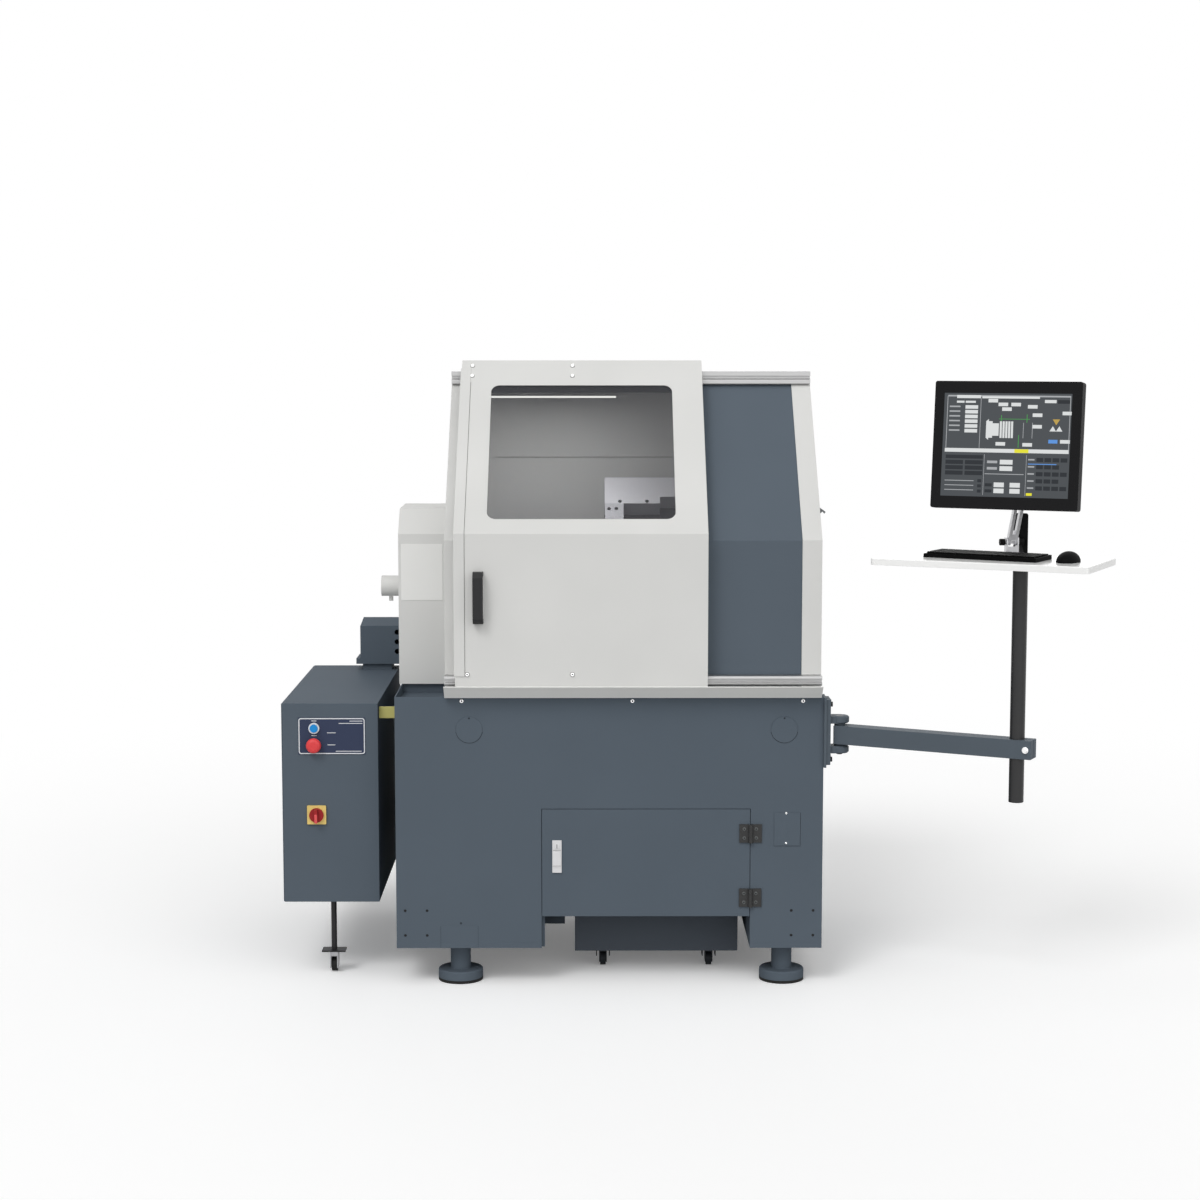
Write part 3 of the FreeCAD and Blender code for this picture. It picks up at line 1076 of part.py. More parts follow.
def operator_controls():
    """Plate with its two push buttons, and the rotary main switch on its square plate."""
    face = s.cabinet_front
    top = face - s.plate_thick
    plate = block(s.plate_left, top, s.plate_low, s.plate_wide, s.plate_thick, s.plate_tall)
    collars = [rod("Y", s.button_x, top - s.collar_thick, z, s.collar_radius, s.collar_thick)
               for z in (s.reset_z, s.stop_z)]
    bores = [rod("Y", s.button_x, top - s.collar_thick - 1, z, s.button_radius + s.gap,
                 s.collar_thick + s.plate_thick + 2) for z in (s.reset_z, s.stop_z)]
    control = cut(join(plate, *collars), *bores)
    half = s.switch_size / 2
    switch = cut(block(s.switch_x - half, face - s.switch_thick, s.switch_z - half, s.switch_size,
                       s.switch_thick, s.switch_size),
                 rod("Y", s.switch_x, face - s.switch_thick - 1, s.switch_z,
                     s.knob_shaft + s.gap, s.switch_thick + 2))
    node("control_plates", group(control, switch))
    out = top - s.collar_thick - s.button_out
    reset = rod("Y", s.button_x, out, s.reset_z, s.button_radius, s.button_stem)
    node("reset_button", reset)
    rim = top - s.collar_thick - s.mushroom_gap
    back = Length(0)
    dome = [(back, rim - s.mushroom_tall), (s.mushroom_radius * 0.55, rim - s.mushroom_tall),
            (s.mushroom_radius * 0.85, rim - s.mushroom_tall * 0.8),
            (s.mushroom_radius, rim - s.mushroom_tall * 0.4), (s.mushroom_radius, rim),
            (s.button_radius, rim), (s.button_radius, rim + s.button_stem),
            (back, rim + s.button_stem)]
    mushroom = turned(dome, "Z")
    node("stop_button", mushroom, s.button_x, 0, s.stop_z, roll=-90)
    knob_back = face - s.switch_thick - s.gap
    knob = join(rod("Y", s.switch_x, knob_back - s.knob_thick, s.switch_z, s.knob_radius,
                    s.knob_thick),
                block(s.switch_x - s.knob_grip_wide / 2, knob_back - s.knob_thick - s.knob_grip,
                      s.switch_z - s.knob_radius + 2, s.knob_grip_wide, s.knob_grip,
                      2 * s.knob_radius - 4),
                rod("Y", s.switch_x, knob_back, s.switch_z, s.knob_shaft,
                    s.switch_thick + s.cabinet_sheet + 6))
    node("switch_knob", knob)


def junction_box():
    """Cable box on a neck at the cabinet's rear, with three cable holes in its front."""
    wall = s.box_wall
    wide = s.box_right - s.box_left
    tall = s.box_top - s.box_low
    shell = block(s.box_left, box_front, s.box_low, wide, s.box_depth, tall)
    flange = block(s.box_left - s.box_flange, box_front, s.box_low, wide + s.box_flange,
                   s.box_depth, s.box_flange_tall)
    hollow = block(s.box_left + wall, box_front + wall, s.box_low + wall, wide - 2 * wall,
                   s.box_depth - 2 * wall, tall - 2 * wall)
    neck_low = s.cabinet_top
    neck = block(s.box_neck_left, box_front + s.neck_inset, neck_low, s.box_neck_wide,
                 s.box_depth - 2 * s.neck_inset, s.box_low - neck_low)
    duct = block(s.box_neck_left + s.duct_margin, box_front + s.duct_inset, neck_low - 1,
                 s.box_neck_wide - 2 * s.duct_margin, s.box_depth - 2 * s.duct_inset,
                 s.box_low - neck_low + wall + 2)
    bores = [rod("Y", s.box_hole_x, box_front - 1, s.box_hole_low + s.box_hole_step * index,
                 s.box_hole_radius, wall + 2) for index in range(3)]
    node("junction_box", cut(join(shell, flange, neck), hollow, duct, *bores))


def cabinet_leg():
    """Prop under the cabinet: rod with a foot plate, swivel fork and wheel."""
    top = s.leg_plate_low + s.leg_plate_thick
    leg = rod("Z", s.leg_x, s.leg_y, top, s.leg_radius, s.cabinet_bottom - top)
    plate = block(s.leg_x - s.leg_plate_wide / 2, s.leg_y - s.leg_plate_deep / 2, s.leg_plate_low,
                  s.leg_plate_wide, s.leg_plate_deep, s.leg_plate_thick)
    kingpin = rod("Z", s.leg_x, s.leg_y, s.leg_plate_low - 12, 5, 12)
    node("cabinet_leg", join(leg, plate, kingpin))
    cheek = 3
    crown_low = s.leg_plate_low - 14
    crown_wide = s.wheel_width + 2 * (cheek + s.gap)
    crown = block(s.leg_x - crown_wide / 2, s.leg_y - 14, crown_low, crown_wide,
                  28 + s.fork_trail / 2, 14 - s.gap)
    cheeks = [block(s.leg_x + side, s.leg_y - 12, s.wheel_radius - 7, cheek,
                    24 + s.fork_trail, crown_low - s.wheel_radius + 9)
              for side in (-crown_wide / 2, crown_wide / 2 - cheek)]
    axle_y = s.leg_y + s.fork_trail
    axle = rod("X", s.leg_x - crown_wide / 2, axle_y, s.wheel_radius, 3, crown_wide)
    socket = rod("Z", s.leg_x, s.leg_y, crown_low - 1, 5 + s.fit, 16)
    node("leg_fork", cut(join(crown, *cheeks, axle), socket))
    wheel = cut(rod("X", s.leg_x - s.wheel_width / 2, axle_y, s.wheel_radius, s.wheel_radius,
                    s.wheel_width),
                rod("X", s.leg_x - s.wheel_width / 2 - 1, axle_y, s.wheel_radius, 3 + s.fit,
                    s.wheel_width + 2))
    node("leg_wheel", wheel)


# ---------------------------------------------------------------- arm, pole and table
def bracket_plates():
    back = block(s.base_width, s.bracket_front - 5, s.bracket_low - 7, s.bracket_back_plate,
                 s.bracket_deep + 10, s.bracket_tall + 12)
    face_x = s.base_width + s.bracket_back_plate
    face = block(face_x, s.bracket_front, s.bracket_low, s.bracket_plate, s.bracket_deep,
                 s.bracket_tall)
    return back, face


def arm_bracket():
    """Plates bolted to the stand's side, with two ears for the arm's pivot."""
    ears, bores = [], []
    root = s.base_width + s.bracket_back_plate
    inner = s.ear_radius - s.ear_bevel
    for low in (s.ear_low, s.ear_high):
        high = low + s.ear_thick
        ears.append(block(root, s.arm_y - inner, low, arm_x - root, 2 * inner, s.ear_thick))
        disc = [(Length(0), low), (inner, low), (s.ear_radius, low + s.ear_bevel),
                (s.ear_radius, high - s.ear_bevel), (inner, high), (Length(0), high)]
        ears.append(place(turned(disc, "Z"), arm_x, s.arm_y))
        bores.append(rod("Z", arm_x, s.arm_y, low - 1, s.pivot_radius, s.ear_thick + 2))
    node("arm_bracket", cut(join(*bracket_plates(), *ears), *bores))


def fixings():
    """Pivot bolt, bracket bolts, stand screws, the zinc tie bracket and the tool hook."""
    low = s.ear_low - s.pin_drop
    pin = [(Length(0), low), (s.pin_nose, low), (s.pin_head, s.ear_low),
           (s.pivot_radius, s.ear_low), (s.pivot_radius, s.ear_high + s.ear_thick),
           (Length(0), s.ear_high + s.ear_thick)]
    pivot = place(turned(pin, "Z"), arm_x, s.arm_y)
    face_x = s.base_width + s.bracket_back_plate + s.bracket_plate
    inset = 14
    bolts = [rod("X", face_x, y, z, 7, 6)
             for y in (s.bracket_front + inset, s.bracket_front + s.bracket_deep - inset)
             for z in (s.bracket_low + inset, s.bracket_low + s.bracket_tall - inset)]
    screws = [rod("Y", s.rim_screw_left + s.rim_screw_pitch * index, -s.screw_head,
                  s.base_top - s.rim_screw_drop, s.rim_screw_radius, s.screw_head)
              for index in range(3)]
    tie = join(block(s.gap - s.cabinet_gap, s.tie_y, s.tie_low, s.cabinet_gap - s.gap, s.tie_thick,
                     s.tie_tall),
               block(-s.tie_thick, s.tie_y, s.tie_low, s.tie_thick, s.tie_lap, s.tie_tall))
    tip_x = shell_right + s.hook_out
    tip_z = s.hook_top - s.hook_fall
    beak = [(shell_right, s.hook_top), (tip_x, tip_z), (tip_x, tip_z - s.hook_blunt),
            (tip_x - s.hook_blunt, tip_z - 2 * s.hook_blunt), (shell_right + s.hook_notch, tip_z),
            (shell_right, s.hook_top - s.hook_tall)]
    hook = profile("XZ", beak, s.hook_y, s.hook_thick)
    node("fixings", group(pivot, *bolts, *screws, tie, hook))


def arm_tube():
    """Square tube with a pivot sleeve at one end and the pole's clamp sleeve at the other."""
    half = s.tube_size / 2
    total = s.arm_behind + s.arm_length + s.arm_beyond
    shell = block(-s.arm_behind, -half, s.arm_low, total, s.tube_size, s.tube_size)
    inner = s.tube_size - 2 * s.tube_wall
    hollow = block(s.pivot_sleeve, s.tube_wall - half, s.arm_low + s.tube_wall,
                   s.arm_length - s.pivot_sleeve - s.pole_sleeve, inner, inner)
    collar_low = s.ear_low + s.ear_thick + s.gap
    collar_tall = s.ear_high - s.gap - collar_low
    collar = rod("Z", 0, 0, collar_low, s.pivot_collar, collar_tall)
    pivot = rod("Z", 0, 0, collar_low - 1, s.pivot_radius + s.fit, collar_tall + 2)
    clamp = rod("Z", s.arm_length, 0, s.arm_low - 1, s.pole_radius + s.fit, s.tube_size + 2)
    slit = block(s.arm_length, -1.5, s.arm_low - 1, s.arm_beyond + 1, 3, s.tube_size + 2)
    bolt_x = s.arm_length + s.pole_radius + 10
    middle = s.arm_low + half
    bolt = join(rod("Y", bolt_x, -half - 2, middle, 9, 2), rod("Y", bolt_x, -half - 8, middle, 6.5, 6),
                rod("Y", bolt_x, half, middle, 6.5, 6))
    tube = cut(join(cut(shell, hollow), collar), pivot, clamp, slit)
    node("arm_tube", join(tube, bolt), arm_x, s.arm_y, 0, yaw=s.arm_yaw)


def pole():
    """Steel tube in the arm's clamp, with the flange that the table turns on."""
    top = table_low - s.gap
    tube = rod("Z", 0, 0, s.pole_low, s.pole_radius, top - s.pole_low)
    bore = rod("Z", 0, 0, s.pole_low - 1, s.pole_radius - s.pole_wall, top - s.pole_low - 20)
    flange = rod("Z", 0, 0, top - s.pole_flange_thick, s.pole_flange, s.pole_flange_thick)
    node("pole", cut(join(tube, flange), bore), pole_x, pole_y)


def on_table(x, y):
    """Machine X and Y of a spot on the table, from the pole's axis along the table's edges."""
    return (pole_x + x * cosine(s.table_yaw) - y * sine(s.table_yaw),
            pole_y + x * sine(s.table_yaw) + y * cosine(s.table_yaw))


def table_top():
    left = s.table_x - s.table_width / 2
    board = oblong(left, -s.table_depth / 2, table_low, s.table_width, s.table_depth,
                   s.table_thick, s.table_corner)
    soften(board, s.table_edge,
           lambda edge: abs(edge.BoundBox.ZMin - float(s.table_top)) < 0.01, "Chamfer")
    node("table_top", board, pole_x, pole_y, yaw=s.table_yaw)


def keyboard():
    """Wedge-shaped keyboard with rows of separate key caps."""
    wide, deep = s.keyboard_width, s.keyboard_depth
    x0, y0 = -wide / 2, -deep / 2
    rise = s.keyboard_lip - s.keyboard_tall
    wedge = [(y0, Length(0)), (y0, s.keyboard_tall), (-y0, s.keyboard_tall + rise),
             (-y0, Length(0))]
    case = profile("YZ", wedge, x0, wide)
    keys = []
    rows = 5
    per_row = 15
    pitch = (wide - 12) / per_row
    row_pitch = (deep - 12) / rows
    for row in range(rows):
        y = y0 + 6 + row_pitch * row
        for column in range(per_row):
            if row == 0 and 4 <= column <= 8:
                continue
            x = x0 + 6 + pitch * column
            keys.append(block(x + s.key_space / 2, y + s.key_space / 2, s.keyboard_tall - 1,
                              pitch - s.key_space, row_pitch - s.key_space, s.key_tall + 2))
    space = block(x0 + 6 + pitch * 4 + s.key_space / 2, y0 + 6 + s.key_space / 2,
                  s.keyboard_tall - 1, pitch * 5 - s.key_space, row_pitch - s.key_space,
                  s.key_tall + 2)
    x, y = on_table(s.keyboard_x, s.keyboard_y)
    node("keyboard", join(case, *keys, space), x, y, s.table_top,
         yaw=s.table_yaw + s.keyboard_turn)


def mouse():
    """Moulded mouse: a domed half ellipsoid with a flat underside."""
    ball = doc.addObject("Part::Ellipsoid", "Dome")
    bind(ball, "Radius1", s.mouse_tall)
    bind(ball, "Radius2", s.mouse_wide / 2)
    bind(ball, "Radius3", s.mouse_long / 2)
    above = block(-s.mouse_long, -s.mouse_long, 0, 2 * s.mouse_long, 2 * s.mouse_long,
                  s.mouse_tall + 5)
    dome = doc.addObject("Part::Common", "HalfDome")
    dome.Base = ball
    dome.Tool = above
    x, y = on_table(s.mouse_x, s.mouse_y)
    node("mouse", dome, x, y, s.table_top, yaw=s.table_yaw)


# ---------------------------------------------------------------- screen and its stand
stand_x, stand_y = on_table(s.stand_x, s.stand_y)
elbow_rise = s.link_length * cosine(s.link_lean)
elbow_reach = s.link_length * sine(s.link_lean)
head_z = s.elbow_z + elbow_rise


def upper_corner(edge):
    """Picks the two upper corners of the plate on the table's rear edge."""
    return along(0, 1, 0)(edge) and edge.CenterOfMass.z > s.clamp_top - 1


def stand_base():
    """Foot plate with two cheeks for the links' lower pivot, and the plate on the table's edge."""
    foot = block(-s.stand_foot_wide / 2, -s.stand_foot_deep / 2, s.table_top, s.stand_foot_wide,
                 s.stand_foot_deep, s.stand_foot_thick)
    low = s.table_top + s.stand_foot_thick
    half = s.cheek_gap / 2
    cheeks = [block(x, -s.cheek_wide / 2, low, s.cheek_thick, s.cheek_wide,
                    s.elbow_z + s.cheek_wide / 2 - low) for x in (-half - s.cheek_thick, half)]
    pin = rod("X", -half - s.cheek_thick - 2, 0, s.elbow_z, s.elbow_pin,
              s.cheek_gap + 2 * s.cheek_thick + 4)
    knobs = [rod("X", x, 0, s.elbow_z, s.knob_big, s.knob_long)
             for x in (-half - s.cheek_thick - s.knob_long - 2, half + s.cheek_thick + 2)]
    web = block(-half - 1, -s.cheek_wide / 2, low, 2 * half + 2, s.cheek_thick, s.stand_web_tall)
    turn = s.table_yaw - s.stand_yaw
    back = s.table_depth / 2
    corners = [(s.clamp_x - s.clamp_wide / 2, table_low), (s.clamp_x + s.clamp_wide / 2, table_low),
               (s.clamp_x + s.clamp_wide / 2, s.clamp_top),
               (s.clamp_x - s.clamp_wide / 2, s.clamp_top)]
    clamp = soften(profile("XZ", corners, back, s.clamp_thick), s.clamp_corner, upper_corner)
    place(clamp, -s.stand_x * cosine(turn) + s.stand_y * sine(turn),
          -s.stand_x * sine(turn) - s.stand_y * cosine(turn), yaw=turn)
    node("stand_base", join(foot, *cheeks, web, pin, *knobs, clamp), stand_x, stand_y,
         yaw=s.stand_yaw)


def stand_links():
    """Pair of flat links on the lower pivot, tied together at the top by the head's pivot."""
    half = s.cheek_gap / 2 - s.gap
    long = s.link_length
    links = []
    for x in (-half, half - s.link_thick):
        bar = block(x, -s.link_wide / 2, 0, s.link_thick, s.link_wide, long)
        ends = [rod("X", x, 0, z, s.link_wide / 2, s.link_thick) for z in (Length(0), long)]
        links.append(join(bar, *ends))
    spacer = block(-half, -s.link_wide / 2, s.link_wide * 0.7, 2 * half, s.link_wide,
                   s.link_spacer)
    pin = rod("X", -half, 0, long, s.elbow_pin, 2 * half)
    hole = rod("X", -half - 1, 0, 0, s.elbow_pin + s.fit, 2 * half + 2)
    node("stand_links", cut(join(*links, spacer, pin), hole), stand_x, stand_y, s.elbow_z,
         yaw=s.stand_yaw, roll=s.link_lean)


def screen():
    """Flat monitor with a framed face, a bulged back and the lug that it tilts on."""
    half_w, half_h = s.screen_width / 2, s.screen_height / 2
    head_x = stand_x + elbow_reach * sine(s.stand_yaw)
    head_y = stand_y - elbow_reach * cosine(s.stand_yaw)
    across, up = -s.head_side, s.head_drop
    back = -s.head_back
    front = back - s.screen_deep
    corners = [(across + x, up + z) for x, z in ((-half_w, -half_h), (half_w, -half_h),
                                                 (half_w, half_h), (-half_w, half_h))]
    case = soften(profile("XZ", corners, front, s.screen_deep), s.screen_corner, along(0, 1, 0))
    soften(case, 2, lambda edge: abs(edge.BoundBox.YMax - front) < 0.01
           and abs(edge.BoundBox.YMin - front) < 0.01)
    bulge = [(back, up - half_h * 0.72), (back + s.screen_bulge, up - half_h * 0.5),
             (back + s.screen_bulge, up + half_h * 0.5), (back, up + half_h * 0.72)]
    bulge = profile("YZ", bulge, across - half_w * 0.7, half_w * 1.4)
    recess = block(across - s.active_width / 2, front - 1, up - s.active_height / 2,
                   s.active_width, s.screen_recess + 1, s.active_height)
    lug_half = s.cheek_gap / 2 - s.gap - s.link_thick - s.gap
    root = back + s.screen_bulge / 2
    arm = block(-lug_half, root, -s.head_lug / 2, 2 * lug_half, -root, s.head_lug)
    riser = block(-lug_half, root, -s.head_lug / 2, 2 * lug_half, s.screen_bulge, s.head_drop)
    eye = rod("X", -lug_half, 0, 0, s.head_lug / 2, 2 * lug_half)
    hole = rod("X", -lug_half - 1, 0, 0, s.elbow_pin + s.fit, 2 * lug_half + 2)
    lug = place(cut(join(arm, riser, eye), hole), yaw=s.stand_yaw, roll=-s.screen_tilt)
    shell = place(cut(join(case, bulge), recess), yaw=s.screen_yaw, roll=-s.screen_tilt)
    node("monitor_housing", join(shell, lug), head_x, head_y, head_z)
    panel = block(across - s.active_width / 2, front + s.screen_recess - s.lcd_thick,
                  up - s.active_height / 2, s.active_width, s.lcd_thick, s.active_height)
    node("lcd_panel", panel, head_x, head_y, head_z, yaw=s.screen_yaw, roll=-s.screen_tilt)


# ---------------------------------------------------------------- build, check and write
for build in (base_cabinet, levelling_feet, cover_plates, drip_ledge, enclosure, front_panel,
              door_rails, headstock_cover, light_bar, slant_bed, bed_ways, carriage_screw,
              headstock, spindle, pulleys, spindle_motor, drive_belt, chuck, saddle, drive_cover,
              cross_slide, tool_post, door_panel, door_window, door_handle, door_carriers,
              access_door, hinges, latch_lever, coolant_tank, cabinet_shell, cabinet_door,
              operator_controls, junction_box, cabinet_leg, arm_bracket, fixings, arm_tube, pole,
              table_top, keyboard, mouse, stand_base, stand_links, screen):
    build()
doc.recompute()

for item in doc.Objects:
    if "Invalid" in item.State or "Error" in item.State:
        raise RuntimeError(f"{item.Name} ({item.Label}) failed: {item.State}")
for label, item in nodes.items():
    if item.Shape.isNull() or not item.Shape.isValid() or not item.Shape.Solids:
        raise RuntimeError(f"{label} has no valid solid")

os.makedirs("parts", exist_ok=True)
for label, item in nodes.items():
    item.Shape.exportStep(f"parts/{label}.step")
whole = Part.makeCompound([item.Shape for item in nodes.values()]).BoundBox
print(f"{len(nodes)} nodes, X {whole.XMin:.1f} to {whole.XMax:.1f}, "
      f"Y {whole.YMin:.1f} to {whole.YMax:.1f}, Z {whole.ZMin:.1f} to {whole.ZMax:.1f}")
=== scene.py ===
import math

import bmesh
import bpy
from mathutils import Matrix, Vector


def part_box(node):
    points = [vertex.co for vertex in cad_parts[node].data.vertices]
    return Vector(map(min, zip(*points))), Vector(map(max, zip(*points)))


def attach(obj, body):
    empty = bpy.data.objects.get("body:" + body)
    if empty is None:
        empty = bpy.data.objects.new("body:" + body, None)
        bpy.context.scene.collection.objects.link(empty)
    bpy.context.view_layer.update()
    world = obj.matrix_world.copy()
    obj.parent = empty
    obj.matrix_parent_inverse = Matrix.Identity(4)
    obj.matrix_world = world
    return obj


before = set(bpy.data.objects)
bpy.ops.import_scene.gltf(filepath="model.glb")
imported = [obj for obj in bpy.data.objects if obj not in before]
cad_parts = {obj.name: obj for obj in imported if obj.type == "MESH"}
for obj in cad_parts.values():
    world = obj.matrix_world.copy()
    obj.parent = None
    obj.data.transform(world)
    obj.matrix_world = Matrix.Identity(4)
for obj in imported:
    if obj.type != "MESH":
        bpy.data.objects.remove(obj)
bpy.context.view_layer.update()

# Looks of a slant-bed turning lathe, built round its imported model.
#
# Places called machine places are in millimetres from the stand's front left corner on the floor:
# X to the right, Y to the back, Z up. spot() turns one into the model's own metres.

MM = 0.001
stand_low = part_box("base_cabinet")[0]


def spot(x, y, z):
    """A machine place, as a point of the model."""
    return Vector((stand_low.x + x * MM, stand_low.y + y * MM, z * MM))


# ---------------------------------------------------------------- materials
NOISE_SPAN = (0.3, 0.7)     # nearly all values of a noise texture lie between these
GLOW_WAVES = 300            # waves in a metre of the faint unevenness of a glowing surface
GLOW_DRIFT = 0.03           # and its share of the brightness


def linear(colour):
    """Turns a colour as the eye reads it into the amounts that the shader wants."""
    return tuple(c / 12.92 if c <= 0.04045 else ((c + 0.055) / 1.055) ** 2.4 for c in colour)


def paint(name, colour, roughness, metallic=0.0, **more):
    """A material with one Principled shader; more sets its other sockets by name."""
    material = bpy.data.materials.new(name)
    material.use_nodes = True
    shader = material.node_tree.nodes["Principled BSDF"]
    shader.inputs["Base Color"].default_value = (*linear(colour), 1)
    shader.inputs["Roughness"].default_value = roughness
    shader.inputs["Metallic"].default_value = metallic
    for socket, value in more.items():
        shader.inputs[socket.replace("_", " ")].default_value = value
    return material


def noise(material, scale, detail=2.0, stretch=(1, 1, 1)):
    """A noise texture that is fixed to the piece, scale being its waves in a metre."""
    tree = material.node_tree
    place = tree.nodes.new("ShaderNodeTexCoord")
    size = tree.nodes.new("ShaderNodeMapping")
    size.inputs["Scale"].default_value = stretch
    texture = tree.nodes.new("ShaderNodeTexNoise")
    texture.inputs["Scale"].default_value = scale
    texture.inputs["Detail"].default_value = detail
    tree.links.new(place.outputs["Object"], size.inputs["Vector"])
    tree.links.new(size.outputs["Vector"], texture.inputs["Vector"])
    return texture.outputs["Fac"]


def vary_colour(material, scale, amount):
    """Lets the colour drift a little lighter and darker over the surface."""
    tree = material.node_tree
    shader = tree.nodes["Principled BSDF"]
    colour = Vector(shader.inputs["Base Color"].default_value[:3])
    ramp = tree.nodes.new("ShaderNodeValToRGB")
    shares = (1 - amount, 1 + amount)
    for end, position, share in zip(ramp.color_ramp.elements, NOISE_SPAN, shares):
        end.position = position
        end.color = (*(colour * share), 1)
    tree.links.new(noise(material, scale), ramp.inputs["Fac"])
    tree.links.new(ramp.outputs["Color"], shader.inputs["Base Color"])


def vary_gloss(material, scale, low, high, stretch):
    """Lets the roughness drift between two values over the surface."""
    tree = material.node_tree
    spread = tree.nodes.new("ShaderNodeMapRange")
    for socket, value in zip(("From Min", "From Max", "To Min", "To Max"),
                             (*NOISE_SPAN, low, high)):
        spread.inputs[socket].default_value = value
    tree.links.new(noise(material, scale, stretch=stretch), spread.inputs["Value"])
    tree.links.new(spread.outputs["Result"], tree.nodes["Principled BSDF"].inputs["Roughness"])


def grain(material, scale, depth, detail=2.0, stretch=(1, 1, 1)):
    """Raises a fine grain of the given depth in millimetres."""
    tree = material.node_tree
    bump = tree.nodes.new("ShaderNodeBump")
    bump.inputs["Strength"].default_value = 1.0
    bump.inputs["Distance"].default_value = depth * MM
    tree.links.new(noise(material, scale, detail, stretch), bump.inputs["Height"])
    tree.links.new(bump.outputs["Normal"], tree.nodes["Principled BSDF"].inputs["Normal"])


def powder_coat(name, colour, roughness=0.66, gloss=0.1):
    """Baked powder coat: fine orange peel and a faint drift of shade."""
    material = paint(name, colour, roughness, Specular_IOR_Level=gloss)
    vary_colour(material, scale=3.5, amount=0.025)
    grain(material, scale=420, depth=0.006)
    return material


def casting(name, colour):
    """Painted cast iron with a sand-cast skin."""
    material = paint(name, colour, roughness=0.62)
    vary_colour(material, scale=9, amount=0.08)
    grain(material, scale=130, depth=0.22, detail=5)
    return material


def moulded(name, colour, roughness=0.5, depth=0.03, gloss=0.3, drift=0.06):
    """Moulded plastic with a spark-eroded grain."""
    material = paint(name, colour, roughness, Specular_IOR_Level=gloss)
    vary_colour(material, scale=25, amount=drift)
    grain(material, scale=900, depth=depth)
    return material


def brushed(name, colour, roughness, stretch, metallic=1.0):
    """Metal with fine lines along one axis, the one with the small share in stretch."""
    material = paint(name, colour, roughness, metallic)
    low, high = roughness * 0.85, roughness * 1.2
    vary_gloss(material, 900, low, high, stretch)
    grain(material, scale=2200, depth=0.002, stretch=stretch)
    return material


ALONG_X = (0.03, 1, 1)
ALONG_Z = (1, 1, 0.03)

stand_grey = powder_coat("stand_grey", (0.350, 0.388, 0.426), gloss=0.03)
# painted shade: the stand's grey darkened for the tab deep under the access door
bay_tab_shaded = powder_coat("bay_tab_shaded", (0.215, 0.240, 0.270))
panel_grey = powder_coat("panel_grey", (0.354, 0.392, 0.430))
arm_grey = powder_coat("arm_grey", (0.342, 0.377, 0.410), 0.55)
tank_grey = powder_coat("tank_grey", (0.305, 0.330, 0.362))
shell_light = powder_coat("shell_light", (0.855, 0.855, 0.846), 0.60)
# painted light: the shell's paint made lighter, so that the drip ledge's down-facing lip looks as
# light as the door; the door carriers share it
ledge_brightened = powder_coat("ledge_brightened", (0.925, 0.925, 0.915), 0.55)
rail_metal = brushed("rail_metal", (0.68, 0.68, 0.68), 0.38, ALONG_X)
bed_paint = casting("bed_paint", (0.33, 0.36, 0.39))
motor_paint = casting("motor_paint", (0.10, 0.10, 0.11))
ground = brushed("ground_steel", (0.66, 0.66, 0.67), 0.30, ALONG_X)
bright = brushed("bright_steel", (0.80, 0.80, 0.81), 0.16, ALONG_X)
stainless = brushed("stainless_sheet", (0.97, 0.97, 0.99), 0.50, ALONG_X, metallic=0.25)
stainless_tab = brushed("stainless_tab", (0.84, 0.84, 0.86), 0.50, ALONG_X, metallic=0.35)
screw_metal = brushed("screw_metal", (0.96, 0.96, 0.96), 0.22, ALONG_X)
hook_grey = powder_coat("hook_grey", (0.46, 0.47, 0.48))
# painted shade: the saddle gets a dark casting paint that stands for the shadow it lies in
saddle_shaded = casting("saddle_shaded", (0.25, 0.25, 0.26))
bolt_black = moulded("bolt_black", (0.10, 0.10, 0.11), 0.42)
zinc = brushed("yellow_zinc", (0.68, 0.66, 0.40), 0.40, ALONG_X, metallic=0.6)
black_plastic = moulded("black_plastic", (0.075, 0.075, 0.080), 0.55, gloss=0.1)
handle_black = moulded("handle_black", (0.110, 0.112, 0.118), 0.50)
key_plastic = moulded("key_plastic", (0.030, 0.030, 0.033), 0.62, gloss=0.06)
caster_grey = moulded("caster_grey", (0.150, 0.160, 0.175), 0.55, gloss=0.1)
hinge_plastic = moulded("hinge_plastic", (0.190, 0.190, 0.190), 0.50)
hinge_screw_grey = moulded("hinge_screw_grey", (0.34, 0.35, 0.35), 0.45)
plate_dark = powder_coat("plate_dark", (0.22, 0.22, 0.225))
rubber = moulded("rubber", (0.075, 0.075, 0.075), 0.72, 0.08)
latch_silver = moulded("latch_silver", (0.875, 0.875, 0.88), 0.40, drift=0.02)
link_silver = brushed("link_silver", (0.84, 0.84, 0.85), 0.34, ALONG_Z)
pole_black = powder_coat("pole_black", (0.140, 0.140, 0.143), 0.40, 0.4)
table_white = moulded("table_white", (0.98, 0.98, 0.975), 0.18, 0.002, gloss=0.5, drift=0.008)
plate_navy = powder_coat("plate_navy", (0.225, 0.255, 0.345), 0.45)
print_white = powder_coat("print_white", (0.88, 0.89, 0.90), 0.4)
plate_light = powder_coat("plate_light", (0.925, 0.925, 0.915), 0.5)
button_blue = moulded("button_blue", (0.08, 0.55, 0.84), 0.34, 0.008)
button_red = moulded("button_red", (0.88, 0.27, 0.28), 0.38, 0.008)
knob_red = moulded("knob_red", (0.60, 0.10, 0.11), 0.38, 0.008)
grip_red = moulded("grip_red", (0.86, 0.34, 0.34), 0.38, 0.008)
plate_yellow = moulded("plate_yellow", (0.90, 0.79, 0.47), 0.42, 0.008)
# painted shade: the floors of screw sockets, the lock's key slit and the shadows under the round
# covers and the hatch
shade_dark = powder_coat("shade_dark", (0.16, 0.17, 0.18), 0.7)
